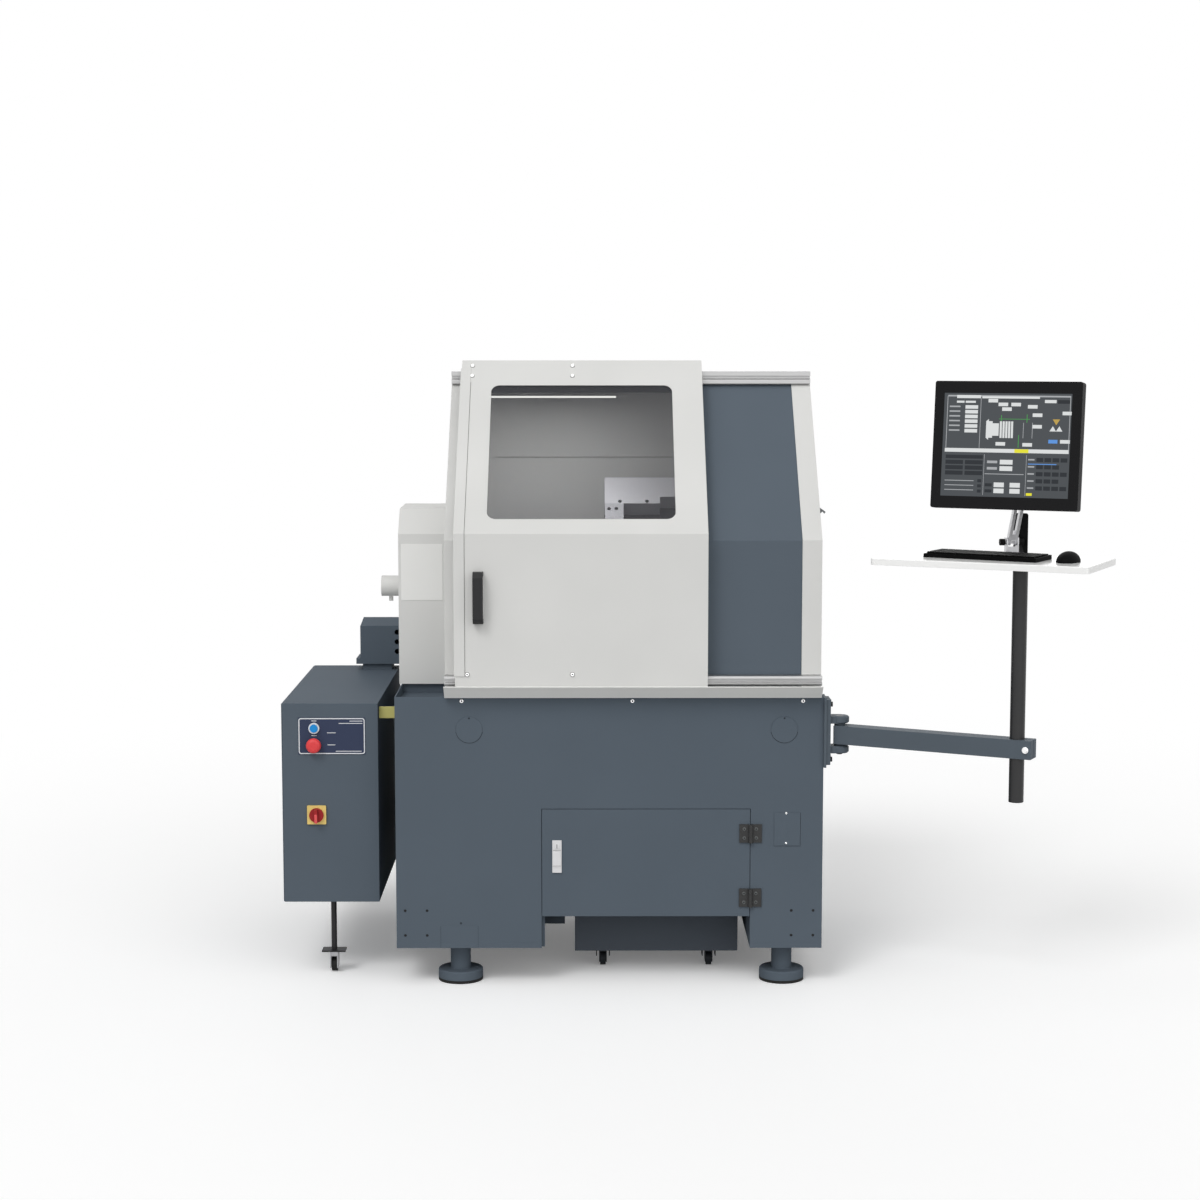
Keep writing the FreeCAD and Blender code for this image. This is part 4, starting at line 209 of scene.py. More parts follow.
# the stand's grey darkened to two thirds: painted shade for the foot bracket's hole and the shadows
# at its sides; the round covers' upper screws are in it too
stand_grey_shaded = powder_coat("stand_grey_shaded", (0.235, 0.260, 0.285), 0.7)
# the shell's light grey darkened: painted shade for the line beside the door's strip and the rings
# and socket floors of the door's screws; also the back wall's lap line and the two lines across the
# latch's paddle
shade_and_joint_soft = powder_coat("shade_and_joint_soft", (0.52, 0.52, 0.51), 0.7)


def window_pane():
    """Smoked polycarbonate: the pane lets part of the light through and mirrors a little."""
    material = paint("window_pane", (0.12, 0.12, 0.15), roughness=0.05, Alpha=0.45, IOR=1.5)
    grain(material, scale=6, depth=0.05)
    return material


def lit(name, colour, strength=1.0):
    """A glowing surface, such as a lamp's diffuser or a field on the screen."""
    unlit = (0.02, 0.02, 0.02)
    material = paint(name, unlit, roughness=0.30, Specular_IOR_Level=0.15)
    tree = material.node_tree
    shader = tree.nodes["Principled BSDF"]
    ramp = tree.nodes.new("ShaderNodeValToRGB")
    for end, share in zip(ramp.color_ramp.elements, (1 - GLOW_DRIFT, 1)):
        end.color = (*(c * share for c in linear(colour)), 1)
    tree.links.new(noise(material, GLOW_WAVES), ramp.inputs["Fac"])
    tree.links.new(ramp.outputs["Color"], shader.inputs["Emission Color"])
    shader.inputs["Emission Strength"].default_value = strength
    return material


lamp_glow = lit("lamp_glow", (1.0, 1.0, 0.98), strength=2.6)

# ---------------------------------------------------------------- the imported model's own nodes
LOOKS = {
    stand_grey: ("base_cabinet", "cover_plates", "levelling_feet", "access_door", "cabinet_shell",
                 "cabinet_door", "junction_box"),
    rubber: ("foot_pads", "drive_belt", "leg_wheel"),
    ledge_brightened: ("drip_ledge", "door_carriers"),
    shell_light: ("enclosure_left_side", "enclosure_right_side", "enclosure_back",
                  "headstock_cover", "door_panel"),
    panel_grey: ("front_panel",),
    rail_metal: ("door_rails", "spindle_pulley", "motor_pulley", "light_bar"),
    bed_paint: ("slant_bed", "headstock"),
    motor_paint: ("spindle_motor",),
    ground: ("bed_ways", "spindle", "chuck_jaw_1", "chuck_jaw_2", "chuck_jaw_3", "cross_slide",
             "tool_post", "leg_fork"),
    saddle_shaded: ("saddle",),
    bright: ("chuck_body", "carriage_screw"),
    stainless: ("drive_cover",),
    arm_grey: ("arm_bracket", "arm_tube"),
    bolt_black: ("fixings", "cabinet_leg"),
    hinge_plastic: ("hinge_leaves", "hinge_flaps"),
    handle_black: ("door_handle",),
    black_plastic: ("monitor_housing",),
    caster_grey: ("tank_casters",),
    key_plastic: ("keyboard", "mouse"),
    latch_silver: ("latch_lever",),
    tank_grey: ("coolant_tank",),
    plate_navy: ("control_plates",),
    button_blue: ("reset_button",),
    button_red: ("stop_button",),
    knob_red: ("switch_knob",),
    pole_black: ("pole",),
    table_white: ("table_top",),
    link_silver: ("stand_base", "stand_links"),
    window_pane(): ("door_window",),
    lit("screen_ground", (0.285, 0.30, 0.315)): ("lcd_panel",),
}

# how far, in millimetres, the edges of each node's sheet, casting or moulding are eased
EASED = {
    "base_cabinet": 1.0, "access_door": 0.8, "cabinet_shell": 0.9, "cabinet_door": 0.8,
    "junction_box": 0.8, "enclosure_left_side": 1.0, "enclosure_right_side": 1.0,
    "enclosure_back": 1.0, "headstock_cover": 0.8, "door_panel": 0.8, "drip_ledge": 0.7,
    "front_panel": 0.8, "coolant_tank": 0.8, "arm_bracket": 1.5, "arm_tube": 1.0,
    "levelling_feet": 1.2, "hinge_leaves": 0.8, "hinge_flaps": 0.8, "latch_lever": 0.8,
    "table_top": 0.6, "stand_base": 0.8, "stand_links": 0.8, "headstock": 2.0, "slant_bed": 2.0,
    "cross_slide": 1.0, "tool_post": 0.6, "drive_cover": 0.7, "door_rails": 0.8,
    "cover_plates": 0.5, "control_plates": 0.5, "switch_knob": 0.8, "stop_button": 1.0,
    "reset_button": 0.8, "keyboard": 0.8, "pole": 0.8,
}


SAME_POINT = 0.02           # corners of a mesh closer than this, in millimetres, are one
FLAT_WITHIN = 0.2           # faces that meet at fewer degrees than this are one flat face
SHARP_FROM = 32             # and at more degrees than this their edge is sharp
EASED_STEPS = 2             # faces across an eased edge


def ease_edges(item, width):
    """Rounds the sharp edges of a piece and shades its flat faces flat."""
    weld = item.modifiers.new("Weld", "WELD")
    weld.merge_threshold = SAME_POINT * MM
    flat = item.modifiers.new("Flat", "DECIMATE")
    flat.decimate_type = "DISSOLVE"
    flat.angle_limit = math.radians(FLAT_WITHIN)
    flat.delimit = {"MATERIAL"}
    bevel = item.modifiers.new("Bevel", "BEVEL")
    bevel.width = width * MM
    bevel.segments = EASED_STEPS
    bevel.limit_method = "ANGLE"
    bevel.angle_limit = math.radians(SHARP_FROM)
    bevel.use_clamp_overlap = True
    level = item.modifiers.new("Level", "WEIGHTED_NORMAL")
    level.keep_sharp = True


for material, labels in LOOKS.items():
    for label in labels:
        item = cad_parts[label]
        if not item.material_slots:
            item.data.materials.append(material)
        for slot in item.material_slots:
            slot.material = material
for label, width in EASED.items():
    ease_edges(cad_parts[label], width)


def repaint(label, material, chosen):
    """Gives a second material to the faces of a node whose middles are chosen."""
    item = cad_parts[label]
    item.data.materials.append(material)
    for face in item.data.polygons:
        if chosen(face.center):
            face.material_index = len(item.data.materials) - 1


def turned_back(point, origin, yaw):
    """A point's level place from an origin, in millimetres, in directions turned by yaw."""
    x, y = (point.x - origin.x) / MM, (point.y - origin.y) / MM
    return x * math.cos(yaw) + y * math.sin(yaw), y * math.cos(yaw) - x * math.sin(yaw)


# the places that tell which faces get a second material, in millimetres
TABLE_YAW = math.radians(-26.3)
STAND_YAW = math.radians(3.8)
ARM_YAW = math.radians(-27.3)
STAND_ON_TABLE = (-60, 120)     # the screen's stand from the pole, in the table's directions
ARM_PIVOT = (1226.5, 30)
WALL_RIGHT = 1171.5             # outer face of the enclosure's right wall
BAY_TAB = ((402, 99, 149), (467, 104, 221))
TABLE_EDGE = 144.4              # the table's rear edge, from the pole
STAND_CHEEK = 18.8              # outer faces of the stand's cheeks, from its middle
KNOB_LOWEST = 1225
ARM_SIDE = 25.6                 # the arm's sides, from its middle
HOOK_LOWEST = 1290
LAMP_SKIN = 0.5
WALL_SKIN = 1

pole_low, pole_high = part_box("pole")
pole_axis = (pole_low + pole_high) / 2
stand_x, stand_y = (place * MM for place in STAND_ON_TABLE)
stand_middle = pole_axis + Vector((stand_x * math.cos(TABLE_YAW) - stand_y * math.sin(TABLE_YAW),
                                   stand_x * math.sin(TABLE_YAW) + stand_y * math.cos(TABLE_YAW),
                                   0))
arm_pivot = spot(*ARM_PIVOT, 0)
lamp_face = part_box("light_bar")[0].y
wall_right = spot(WALL_RIGHT, 0, 0).x
tab_low, tab_high = (spot(*corner) for corner in BAY_TAB)


def on_stand_plate(point):
    """The dark plate on the table's rear edge."""
    return turned_back(point, pole_axis, TABLE_YAW)[1] > TABLE_EDGE


def on_stand_knob(point):
    """The dark knobs outside the stand's two cheeks."""
    aside = abs(turned_back(point, stand_middle, STAND_YAW)[0])
    return aside > STAND_CHEEK and point.z > KNOB_LOWEST * MM


def on_arm_bolt(point):
    """The clamp bolt's head and nut, proud of the arm's sides."""
    return abs(turned_back(point, arm_pivot, ARM_YAW)[1]) > ARM_SIDE


def on_lamp_face(point):
    """The front of the lamp under the roof."""
    return point.y < lamp_face + LAMP_SKIN * MM


def on_hook(point):
    """The small catch on the enclosure's right wall."""
    return point.x > wall_right - WALL_SKIN * MM and point.z > HOOK_LOWEST * MM


def on_bay_tab(point):
    """The tab that shows under the access door's left end, painted darker as shade."""
    return all(low <= value <= high for low, value, high in zip(tab_low, point, tab_high))


repaint("stand_base", plate_dark, on_stand_plate)
repaint("stand_base", black_plastic, on_stand_knob)
repaint("arm_tube", screw_metal, on_arm_bolt)
repaint("light_bar", lamp_glow, on_lamp_face)
repaint("fixings", hook_grey, on_hook)
repaint("base_cabinet", bay_tab_shaded, on_bay_tab)


# ---------------------------------------------------------------- shapes for the small pieces
RIGHT = (1, 0, 0)
LEFT = (-1, 0, 0)
UP = (0, 0, 1)
BACK = (0, 1, 0)
UP_THE_SLOPE = (0, 1, 1)
TURN_STEPS = 32     # corners round a turned form
ARC_STEPS = 24      # steps along a part of a ring
CIRCLE_STEPS = 40   # corners of a circle's outline

# a button-head screw: how far out and how high its profile runs, in shares of its size
SCREW_DOME = ((1, 0), (1, 0.35), (0.86, 0.75), (0.62, 1), (0.40, 1), (0.38, 0.4))
SOCKET_RADIUS, SOCKET_FLOOR = 0.37, 0.4
SOCKET_SKIN = 0.1


def facing(x, y, z, right, up):
    """A flat place at a machine place: x runs right, y up and z out of the surface."""
    right, up = Vector(right).normalized(), Vector(up).normalized()
    out = right.cross(up)
    turn = Matrix((right, up, out)).transposed().to_4x4()
    return Matrix.Translation(spot(x, y, z)) @ turn


def raised(place, height):
    """The same flat place, some millimetres further out."""
    return place @ Matrix.Translation((0, 0, height * MM))


class Shape:
    """One piece made of simple forms, each drawn on a flat place in millimetres."""

    def __init__(self):
        self.mesh = bmesh.new()

    def add_faces(self, place, rings, finish, capped=True):
        """Skins rings of points that have the same count, and closes both ends."""
        grid = [[self.mesh.verts.new(place @ (Vector(point) * MM)) for point in ring]
                for ring in rings]
        count = len(grid[0])
        made = []
        for low, high in zip(grid, grid[1:]):
            for index in range(count):
                after = (index + 1) % count
                made.append(self.mesh.faces.new((low[index], low[after], high[after], high[index])))
        if capped:
            made.append(self.mesh.faces.new(grid[0][::-1]))
            made.append(self.mesh.faces.new(grid[-1]))
        for face in made:
            face.material_index = finish
        return made

    def prism(self, place, outline, low, high, finish=0):
        """A flat outline raised from low to high."""
        self.add_faces(place, [[(x, y, z) for x, y in outline] for z in (low, high)], finish)

    def slab(self, place, x0, y0, x1, y1, low, high, finish=0):
        """A block between two corners of the flat place, raised from low to high."""
        self.prism(place, [(x0, y0), (x1, y0), (x1, y1), (x0, y1)], low, high, finish)

    def band(self, place, outer, inner, low, high):
        """A flat ring between two outlines of as many points."""
        rings = [[(x, y, z) for x, y in outline]
                 for outline, z in ((outer, low), (outer, high), (inner, high), (inner, low))]
        self.add_faces(place, rings + rings[:1], finish=0, capped=False)

    def turned(self, place, x, y, outline, finish=0):
        """Turns (radius, height) points about an upright axis at x, y."""
        rings = [[(x + radius * math.cos(math.tau * step / TURN_STEPS),
                   y + radius * math.sin(math.tau * step / TURN_STEPS), height)
                  for step in range(TURN_STEPS)] for radius, height in outline]
        for face in self.add_faces(place, rings, finish):
            face.smooth = len(face.verts) == 4

    def disc(self, place, x, y, radius, low, high, finish=0):
        """A round plate raised from low to high."""
        self.turned(place, x, y, [(radius, low), (radius, high)], finish)

    def arc(self, place, x, y, inner, outer, start, end, low, high):
        """A flat part of a ring, from one bearing to another in degrees."""
        bearings = [math.radians(start + (end - start) * step / ARC_STEPS)
                    for step in range(ARC_STEPS + 1)]
        outline = [(x + outer * math.cos(angle), y + outer * math.sin(angle)) for angle in bearings]
        outline += [(x + inner * math.cos(angle), y + inner * math.sin(angle))
                    for angle in reversed(bearings)]
        self.prism(place, outline, low, high)

    def screw(self, place, x, y, radius, tall, socket_finish=1):
        """A button-head screw with a socket in it."""
        self.turned(place, x, y, [(radius * out, tall * up) for out, up in SCREW_DOME])
        # the socket's floor: a disc in socket_finish, painted shade where that finish is darker
        # than the head
        floor = tall * SOCKET_FLOOR
        self.disc(place, x, y, radius * SOCKET_RADIUS, floor, floor + SOCKET_SKIN, socket_finish)

    def piece(self, name, body, slot, *materials, eased=None):
        """Closes the shape into an object that rides on a body."""
        bmesh.ops.recalc_face_normals(self.mesh, faces=self.mesh.faces)
        data = bpy.data.meshes.new(name)
        self.mesh.to_mesh(data)
        self.mesh.free()
        made = bpy.data.objects.new(name, data)
        bpy.context.scene.collection.objects.link(made)
        for material in materials:
            data.materials.append(material)
        if eased:
            ease_edges(made, eased)
        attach(made, body)


def inset(box, by):
    """A box (left, low, right, top) made smaller all round."""
    left, low, right, top = box
    return left + by, low + by, right - by, top - by


def rounded(box, radius, steps=6):
    """Outline of a box (left, low, right, top) with round corners."""
    left, low, right, top = inset(box, radius)
    points = []
    for x, y, start in ((right, low, -90), (right, top, 0), (left, top, 90), (left, low, 180)):
        for step in range(steps + 1):
            angle = math.radians(start + 90 * step / steps)
            points.append((x + radius * math.cos(angle), y + radius * math.sin(angle)))
    return points


def circle(x, y, radius):
    """Outline of a circle."""
    bearings = [math.tau * step / CIRCLE_STEPS for step in range(CIRCLE_STEPS)]
    return [(x + radius * math.cos(angle), y + radius * math.sin(angle)) for angle in bearings]


def circle_like(x, y, radius, outline):
    """A circle with its points at the bearings of an outline's points."""
    bearings = [math.atan2(py - y, px - x) for px, py in outline]
    return [(x + radius * math.cos(angle), y + radius * math.sin(angle)) for angle in bearings]


# Below, places are in machine millimetres on the face that is named, a box is (left, low, right,
# top), a screw is (radius, height) and a profile is (radius, height) points.

# ---------------------------------------------------------------- stand
STAND_FACE = facing(0, 0, 0, RIGHT, UP)
STAND_SHEET_BACK = facing(0, 3, 0, LEFT, UP)
COVER_FACE = raised(STAND_FACE, 2)      # the round covers and the hatch are 2 mm sheet

RIM_SCREWS, RIM_SCREW_HEIGHT = (184.5, 653.5, 1122.5), 800
HATCH_SCREW_X, HATCH_SCREWS = 1078.5, (487, 403)
RIM_SCREW, HATCH_SCREW, COVER_SCREW = (6.2, 4.2), (3.4, 2.2), (2.6, 1.2)

COVERS, COVER_HEIGHT = (204.5, 1071.5), 720
COVER_SCREW_UP = 32             # from a cover's middle to its upper screw
COVER_SHADOW = (36.4, 37.6)     # the shadow under a cover's edge, from one radius to another
SHADOW_BEARINGS = (190, 350)    # and along its lower part, in degrees
HATCH_LEFT, HATCH_LOW, HATCH_RIGHT, HATCH_SHADOW_TOP = 1045.5, 395, 1117.5, 488
SHADOW_IN, SHADOW_OUT, SHADOW_TALL = 0.2, 0.9, 0.25

BRACKET, BRACKET_SKIN = (123, 106.5, 226, 170), 0.5
BRACKET_HOLE, BRACKET_HOLE_RADIUS = (178.9, 176.5), 3.4
BRACKET_EDGES, EDGE_WIDE, EDGE_LOW, EDGE_TOP, MARK_TALL = (122.2, 226), 0.8, 108, 169, 0.3

HOLE_COLUMNS, HOLE_ROWS = (24.5, 85, 1095, 1155.5), (142, 212)
SHADE_PLUG_PROFILE = [(7.5, 0), (7.5, 1), (6, 1.5), (6, 9)]


def stand_screws():
    """The screws under the drip ledge and the two on the small hatch."""
    screws = Shape()
    for x in RIM_SCREWS:
        screws.screw(STAND_FACE, x, RIM_SCREW_HEIGHT, *RIM_SCREW)
    for z in HATCH_SCREWS:
        screws.screw(COVER_FACE, HATCH_SCREW_X, z, *HATCH_SCREW)
    screws.piece("stand_screws", "machine", "ground_steel", screw_metal, shade_dark)


def cover_screws():
    """The upper screw of each round cover, in the stand's grey darkened to two thirds."""
    screws = Shape()
    for x in COVERS:
        screws.screw(COVER_FACE, x, COVER_HEIGHT + COVER_SCREW_UP, *COVER_SCREW, socket_finish=0)
    screws.piece("cover_screws", "machine", "grey_base", stand_grey_shaded)


def cover_shadow_lines():
    """The thin shadows under the round covers, and under and beside the hatch."""
    seams = Shape()
    for x in COVERS:
        seams.arc(STAND_FACE, x, COVER_HEIGHT, *COVER_SHADOW, *SHADOW_BEARINGS, 0, SHADOW_TALL)
    right = HATCH_RIGHT + SHADOW_OUT
    seams.slab(STAND_FACE, HATCH_LEFT, HATCH_LOW - SHADOW_OUT, right, HATCH_LOW + SHADOW_IN,
               0, SHADOW_TALL)
    seams.slab(STAND_FACE, HATCH_RIGHT - SHADOW_IN, HATCH_LOW, right, HATCH_SHADOW_TOP,
               0, SHADOW_TALL)
    seams.piece("cover_shadow_lines", "machine", "grey_base", shade_dark)


def foot_bracket():
    """The welded bracket over the left foot, with its hole drawn as a dark disc of painted shade
    and the shadows at its sides.
    """
    skin = Shape()
    skin.slab(STAND_FACE, *BRACKET, 0, BRACKET_SKIN)
    skin.piece("foot_bracket", "machine", "grey_base", stand_grey, eased=0.3)
    marks = Shape()
    marks.disc(STAND_FACE, *BRACKET_HOLE, BRACKET_HOLE_RADIUS, 0, MARK_TALL)
    for x in BRACKET_EDGES:
        marks.slab(STAND_FACE, x, EDGE_LOW, x + EDGE_WIDE, EDGE_TOP, 0, MARK_TALL)
    marks.piece("foot_bracket_marks", "machine", "grey_base", stand_grey_shaded)


def hole_shade_plugs():
    """Painted shade: dark nut shapes behind the small holes over the stand's feet, so that the
    holes show dark.
    """
    nuts = Shape()
    for x in HOLE_COLUMNS:
        for z in HOLE_ROWS:
            nuts.turned(STAND_SHEET_BACK, -x, z, SHADE_PLUG_PROFILE)
    nuts.piece("hole_shade_plugs", "machine", "grey_base", bolt_black)


# ---------------------------------------------------------------- access door
HINGE_FACE = facing(0, -4, 0, RIGHT, UP)
HINGES = (430, 249)
HINGE_SCREW, HINGE_SCREW_ASIDE = (5.0, 1.2), 12.5
HINGE_LEAVES = (("machine", 996, "leaf_screws"), ("access_door", 963, "flap_screws"))

LATCH_FACE = facing(0, -4.3, 0, RIGHT, UP)
PADDLE, PADDLE_TALL = (434.5, 336, 456.5, 378), 1.6
LOCK_PLATE, LOCK_PLATE_TALL = (434.5, 381, 456.5, 409), 1.0
LATCH_CORNER = 1.5
LOCK, LOCK_PROFILE = (445.5, 395), [(7.5, 1.0), (7.5, 2.2), (6.6, 2.6)]
KEY_SLIT, KEY_SLIT_LOW, KEY_SLIT_TOP = (444.7, 389.5, 446.3, 400.5), 2.55, 2.75
PADDLE_LINES, LINE_HALF, LINE_LOW, LINE_TOP = (384, 339.5), 0.5, 1.5, 1.8


def hinge_screws():
    """Four screws in each hinge of the access door, two on each leaf."""
    for body, x, name in HINGE_LEAVES:
        screws = Shape()
        for middle in HINGES:
            for aside in (-HINGE_SCREW_ASIDE, HINGE_SCREW_ASIDE):
                screws.screw(HINGE_FACE, x, middle + aside, *HINGE_SCREW)
        screws.piece(name, body, "black_plastic", hinge_screw_grey, shade_dark)


def latch_face():
    """The latch's raised paddle with its lock."""
    paddle = Shape()
    paddle.prism(LATCH_FACE, rounded(PADDLE, LATCH_CORNER), 0, PADDLE_TALL)
    paddle.prism(LATCH_FACE, rounded(LOCK_PLATE, LATCH_CORNER), 0, LOCK_PLATE_TALL)
    paddle.turned(LATCH_FACE, *LOCK, LOCK_PROFILE)
    paddle.piece("latch_paddle", "latch_lever", "latch_grey", latch_silver, eased=0.5)
    # the key slit is a dark slab of painted shade; two lines run across the paddle
    slit = Shape()
    slit.slab(LATCH_FACE, *KEY_SLIT, KEY_SLIT_LOW, KEY_SLIT_TOP)
    left, _, right, _ = PADDLE
    for z in PADDLE_LINES:
        slit.slab(LATCH_FACE, left, z - LINE_HALF, right, z + LINE_HALF, LINE_LOW, LINE_TOP, 1)
    slit.piece("latch_slit", "latch_lever", "latch_grey", shade_dark, shade_and_joint_soft)


# ---------------------------------------------------------------- door and headstock cover
DOOR_BEND = 1264                # the height where the upright face meets the slope
DOOR_FACE = facing(0, -55, 0, RIGHT, UP)
DOOR_SLOPE = facing(0, -55, DOOR_BEND, RIGHT, UP_THE_SLOPE)
DOOR_SCREW = (6.0, 4.8)
# a grey disc under each door screw, a ring of painted shadow round its edge
SHADE_RING_RADIUS, SHADE_RING_TALL = 6.8, 0.8
DOOR_SCREWS = (
    # the face, then the screws' places across it and up it
    (DOOR_SLOPE, (200.5, 486.7), (592.4, 632.4)),
    (DOOR_FACE, (203.4, 489.3), (881,)),
)
STRIP_RIGHT, STRIP_LOW, STRIP_TOP = 196.5, 876, 568     # its top is measured up the slope
STRIP_SHADOW, STRIP_SHADOW_TALL = 1.3, 0.4

HOOD_FACE = facing(0, 250, 0, RIGHT, UP)
HOOD_PLATE, HOOD_PLATE_CORNER, HOOD_PLATE_TALL = (1.0, 1051, 118.5, 1211), 1.2, 1.2


def door_screws():
    """The door's bright screws, each on a grey disc that shows as a ring of painted shadow round
    its edge.
    """
    screws = Shape()
    for face, across, upwards in DOOR_SCREWS:
        for x in across:
            for y in upwards:
                screws.disc(face, x, y, SHADE_RING_RADIUS, 0, SHADE_RING_TALL, 1)
                screws.screw(face, x, y, *DOOR_SCREW)
    screws.piece("door_screws", "door", "ground_steel", screw_metal, shade_and_joint_soft)


def strip_shadow_line():
    """The shadow line beside the door's raised strip."""
    line = Shape()
    right = STRIP_RIGHT + STRIP_SHADOW
    line.slab(DOOR_FACE, STRIP_RIGHT, STRIP_LOW, right, DOOR_BEND, 0, STRIP_SHADOW_TALL)
    line.slab(DOOR_SLOPE, STRIP_RIGHT, 0, right, STRIP_TOP, 0, STRIP_SHADOW_TALL)
    line.piece("strip_shadow_line", "door", "light_shell", shade_and_joint_soft)


def headstock_plate():
    """The bare plate on the headstock cover's front."""
    plate = Shape()
    plate.prism(HOOD_FACE, rounded(HOOD_PLATE, HOOD_PLATE_CORNER), 0, HOOD_PLATE_TALL)
    plate.piece("headstock_plate", "machine", "light_shell", plate_light, eased=0.4)


# ---------------------------------------------------------------- electrical cabinet
CABINET_FACE = facing(0, 90, 0, RIGHT, UP)
PLATE_FACE = raised(CABINET_FACE, 2)
PLATE = (-276.5, 636, -89.5, 739.5)
BORDER = ((1.2, 7), (4.0, 4.5))     # inset from the plate and corner, outside and inside
PRINT_TALL = 0.35
BAR_HALF = 0.9
PLATE_BARS = (
    # middle across, middle up and width
    (-232, 730.5, 14), (-232, 689.0, 14), (-184, 697, 24), (-184, 663, 22),
    (-115, 730.0, 36), (-130, 723.5, 66), (-136, 645.0, 72),
)
COLLAR_FACE = raised(CABINET_FACE, 8)
RESET = (-232, 710)
RING_OUTER, RING_INNER, RING_LOW, RING_TOP = 15.2, 11.3, -6, 0.6

SWITCH = (-227.5, 465)
SWITCH_COVER, SWITCH_COVER_CORNER = (-254, 438.5, -201, 491.5), 2.5
SWITCH_COVER_STEPS = 9
SWITCH_HOLE, SWITCH_COVER_LOW, SWITCH_COVER_TOP = 8.5, 0.1, 6.4
KNOB_FACE = raised(CABINET_FACE, 14.3)
GRIP, GRIP_CORNER, GRIP_LOW, GRIP_TOP = (-231.7, 444.6, -223.3, 471), 3.5, 0.05, 14.6

TIE_FACE = facing(0, 129, 0, RIGHT, UP)
TIE, TIE_LOW, TIE_TOP = (-54.1, 731.6, -0.2, 764.4), -3.2, 0.4


def plate_lines():
    """White border and bare bars on the operator's plate."""
    lines = Shape()
    outer, inner = (rounded(inset(PLATE, by), corner) for by, corner in BORDER)
    lines.band(PLATE_FACE, outer, inner, 0, PRINT_TALL)
    for x, z, wide in PLATE_BARS:
        lines.slab(PLATE_FACE, x - wide / 2, z - BAR_HALF, x + wide / 2, z + BAR_HALF,
                   0, PRINT_TALL)
    lines.piece("plate_lines", "electrical_cabinet", "plate_navy", print_white)


def reset_ring():
    """The white ring round the blue button."""
    ring = Shape()
    ring.band(COLLAR_FACE, circle(*RESET, RING_OUTER), circle(*RESET, RING_INNER),
              RING_LOW, RING_TOP)
    ring.piece("reset_ring", "electrical_cabinet", "plate_navy", print_white, eased=0.5)


def switch_plate():
    """Yellow cover over the main switch's square plate, and the light lever on its knob."""
    skin = Shape()
    outer = rounded(SWITCH_COVER, SWITCH_COVER_CORNER, SWITCH_COVER_STEPS)
    skin.band(CABINET_FACE, outer, circle_like(*SWITCH, SWITCH_HOLE, outer),
              SWITCH_COVER_LOW, SWITCH_COVER_TOP)
    skin.piece("switch_cover", "electrical_cabinet", "plate_navy", plate_yellow, eased=0.8)
    grip = Shape()
    grip.prism(KNOB_FACE, rounded(GRIP, GRIP_CORNER), GRIP_LOW, GRIP_TOP)
    grip.piece("switch_grip", "switch_knob", "button_red", grip_red, eased=1.2)


def zinc_tie():
    """Yellow zinc skin of the tie between the cabinet and the stand."""
    tie = Shape()
    tie.slab(TIE_FACE, *TIE, TIE_LOW, TIE_TOP)
    tie.piece("zinc_tie", "machine", "ground_steel", zinc, eased=0.5)


# ---------------------------------------------------------------- behind the window
SLOPE = math.radians(45)
BED_Y, BED_Z = 360, 1081        # a place on the slanted bed's face
COVER_SUNK = 75                 # how far the bright cover lies below it
BRIGHT_COVER = facing(0, BED_Y + COVER_SUNK * math.sin(SLOPE), BED_Z - COVER_SUNK * math.cos(SLOPE),
                      RIGHT, UP_THE_SLOPE)
COVER_BOLTS, COVER_BOLT = ((627, 388), (708.5, 388), (594, 358), (616, 359)), (5.6, 2.6)
COVER_TAB, COVER_SHEET = (582, 318, 638, 381), 2

BACK_WALL = facing(0, 847, 0, RIGHT, UP)
WALL_LAP, WALL_LAP_TALL = (246, 1427, 1100, 1429), 0.4


def cover_details():
    """The bright cover's screws and its turned-down tab."""
    screws = Shape()
    for x, along in COVER_BOLTS:
        screws.screw(BRIGHT_COVER, x, along, *COVER_BOLT)
    screws.piece("cover_bolts", "carriage", "ground_steel", bolt_black, shade_dark)
    tab = Shape()
    tab.slab(BRIGHT_COVER, *COVER_TAB, -COVER_SHEET, 0)
    tab.piece("cover_tab", "carriage", "stainless", stainless_tab, eased=0.7)


def wall_seam():
    """The lap in the back wall's sheet."""
    seam = Shape()
    seam.slab(BACK_WALL, *WALL_LAP, 0, WALL_LAP_TALL)
    seam.piece("wall_seam", "machine", "light_shell", shade_and_joint_soft)


# ---------------------------------------------------------------- rear box and casters
LID_RIGHT = facing(-14, 0, 0, BACK, UP)
LID_PROFILE, LID_LONG = [(761, 915.5), (870, 915.5), (870, 930)], 153

FLOOR = facing(0, 0, 0, RIGHT, BACK)
CASTER_IN = 80                  # from the tank's ends to its casters' middles
CASTER_ROWS = (208, 728)
HOOD_HALF, HOOD_SHEET, HOOD_NEAR, HOOD_FAR = 20, 3, -14, 22
HOOD_SIDES, HOOD_ROOF = (32, 51), (48, 51.5)    # from one height to another


def junction_box_lid():
    """The rear box's lid, which rises towards the back."""
    lid = Shape()
    lid.prism(LID_RIGHT, LID_PROFILE, -LID_LONG, 0)
    lid.piece("junction_box_lid", "electrical_cabinet", "grey_base", stand_grey)


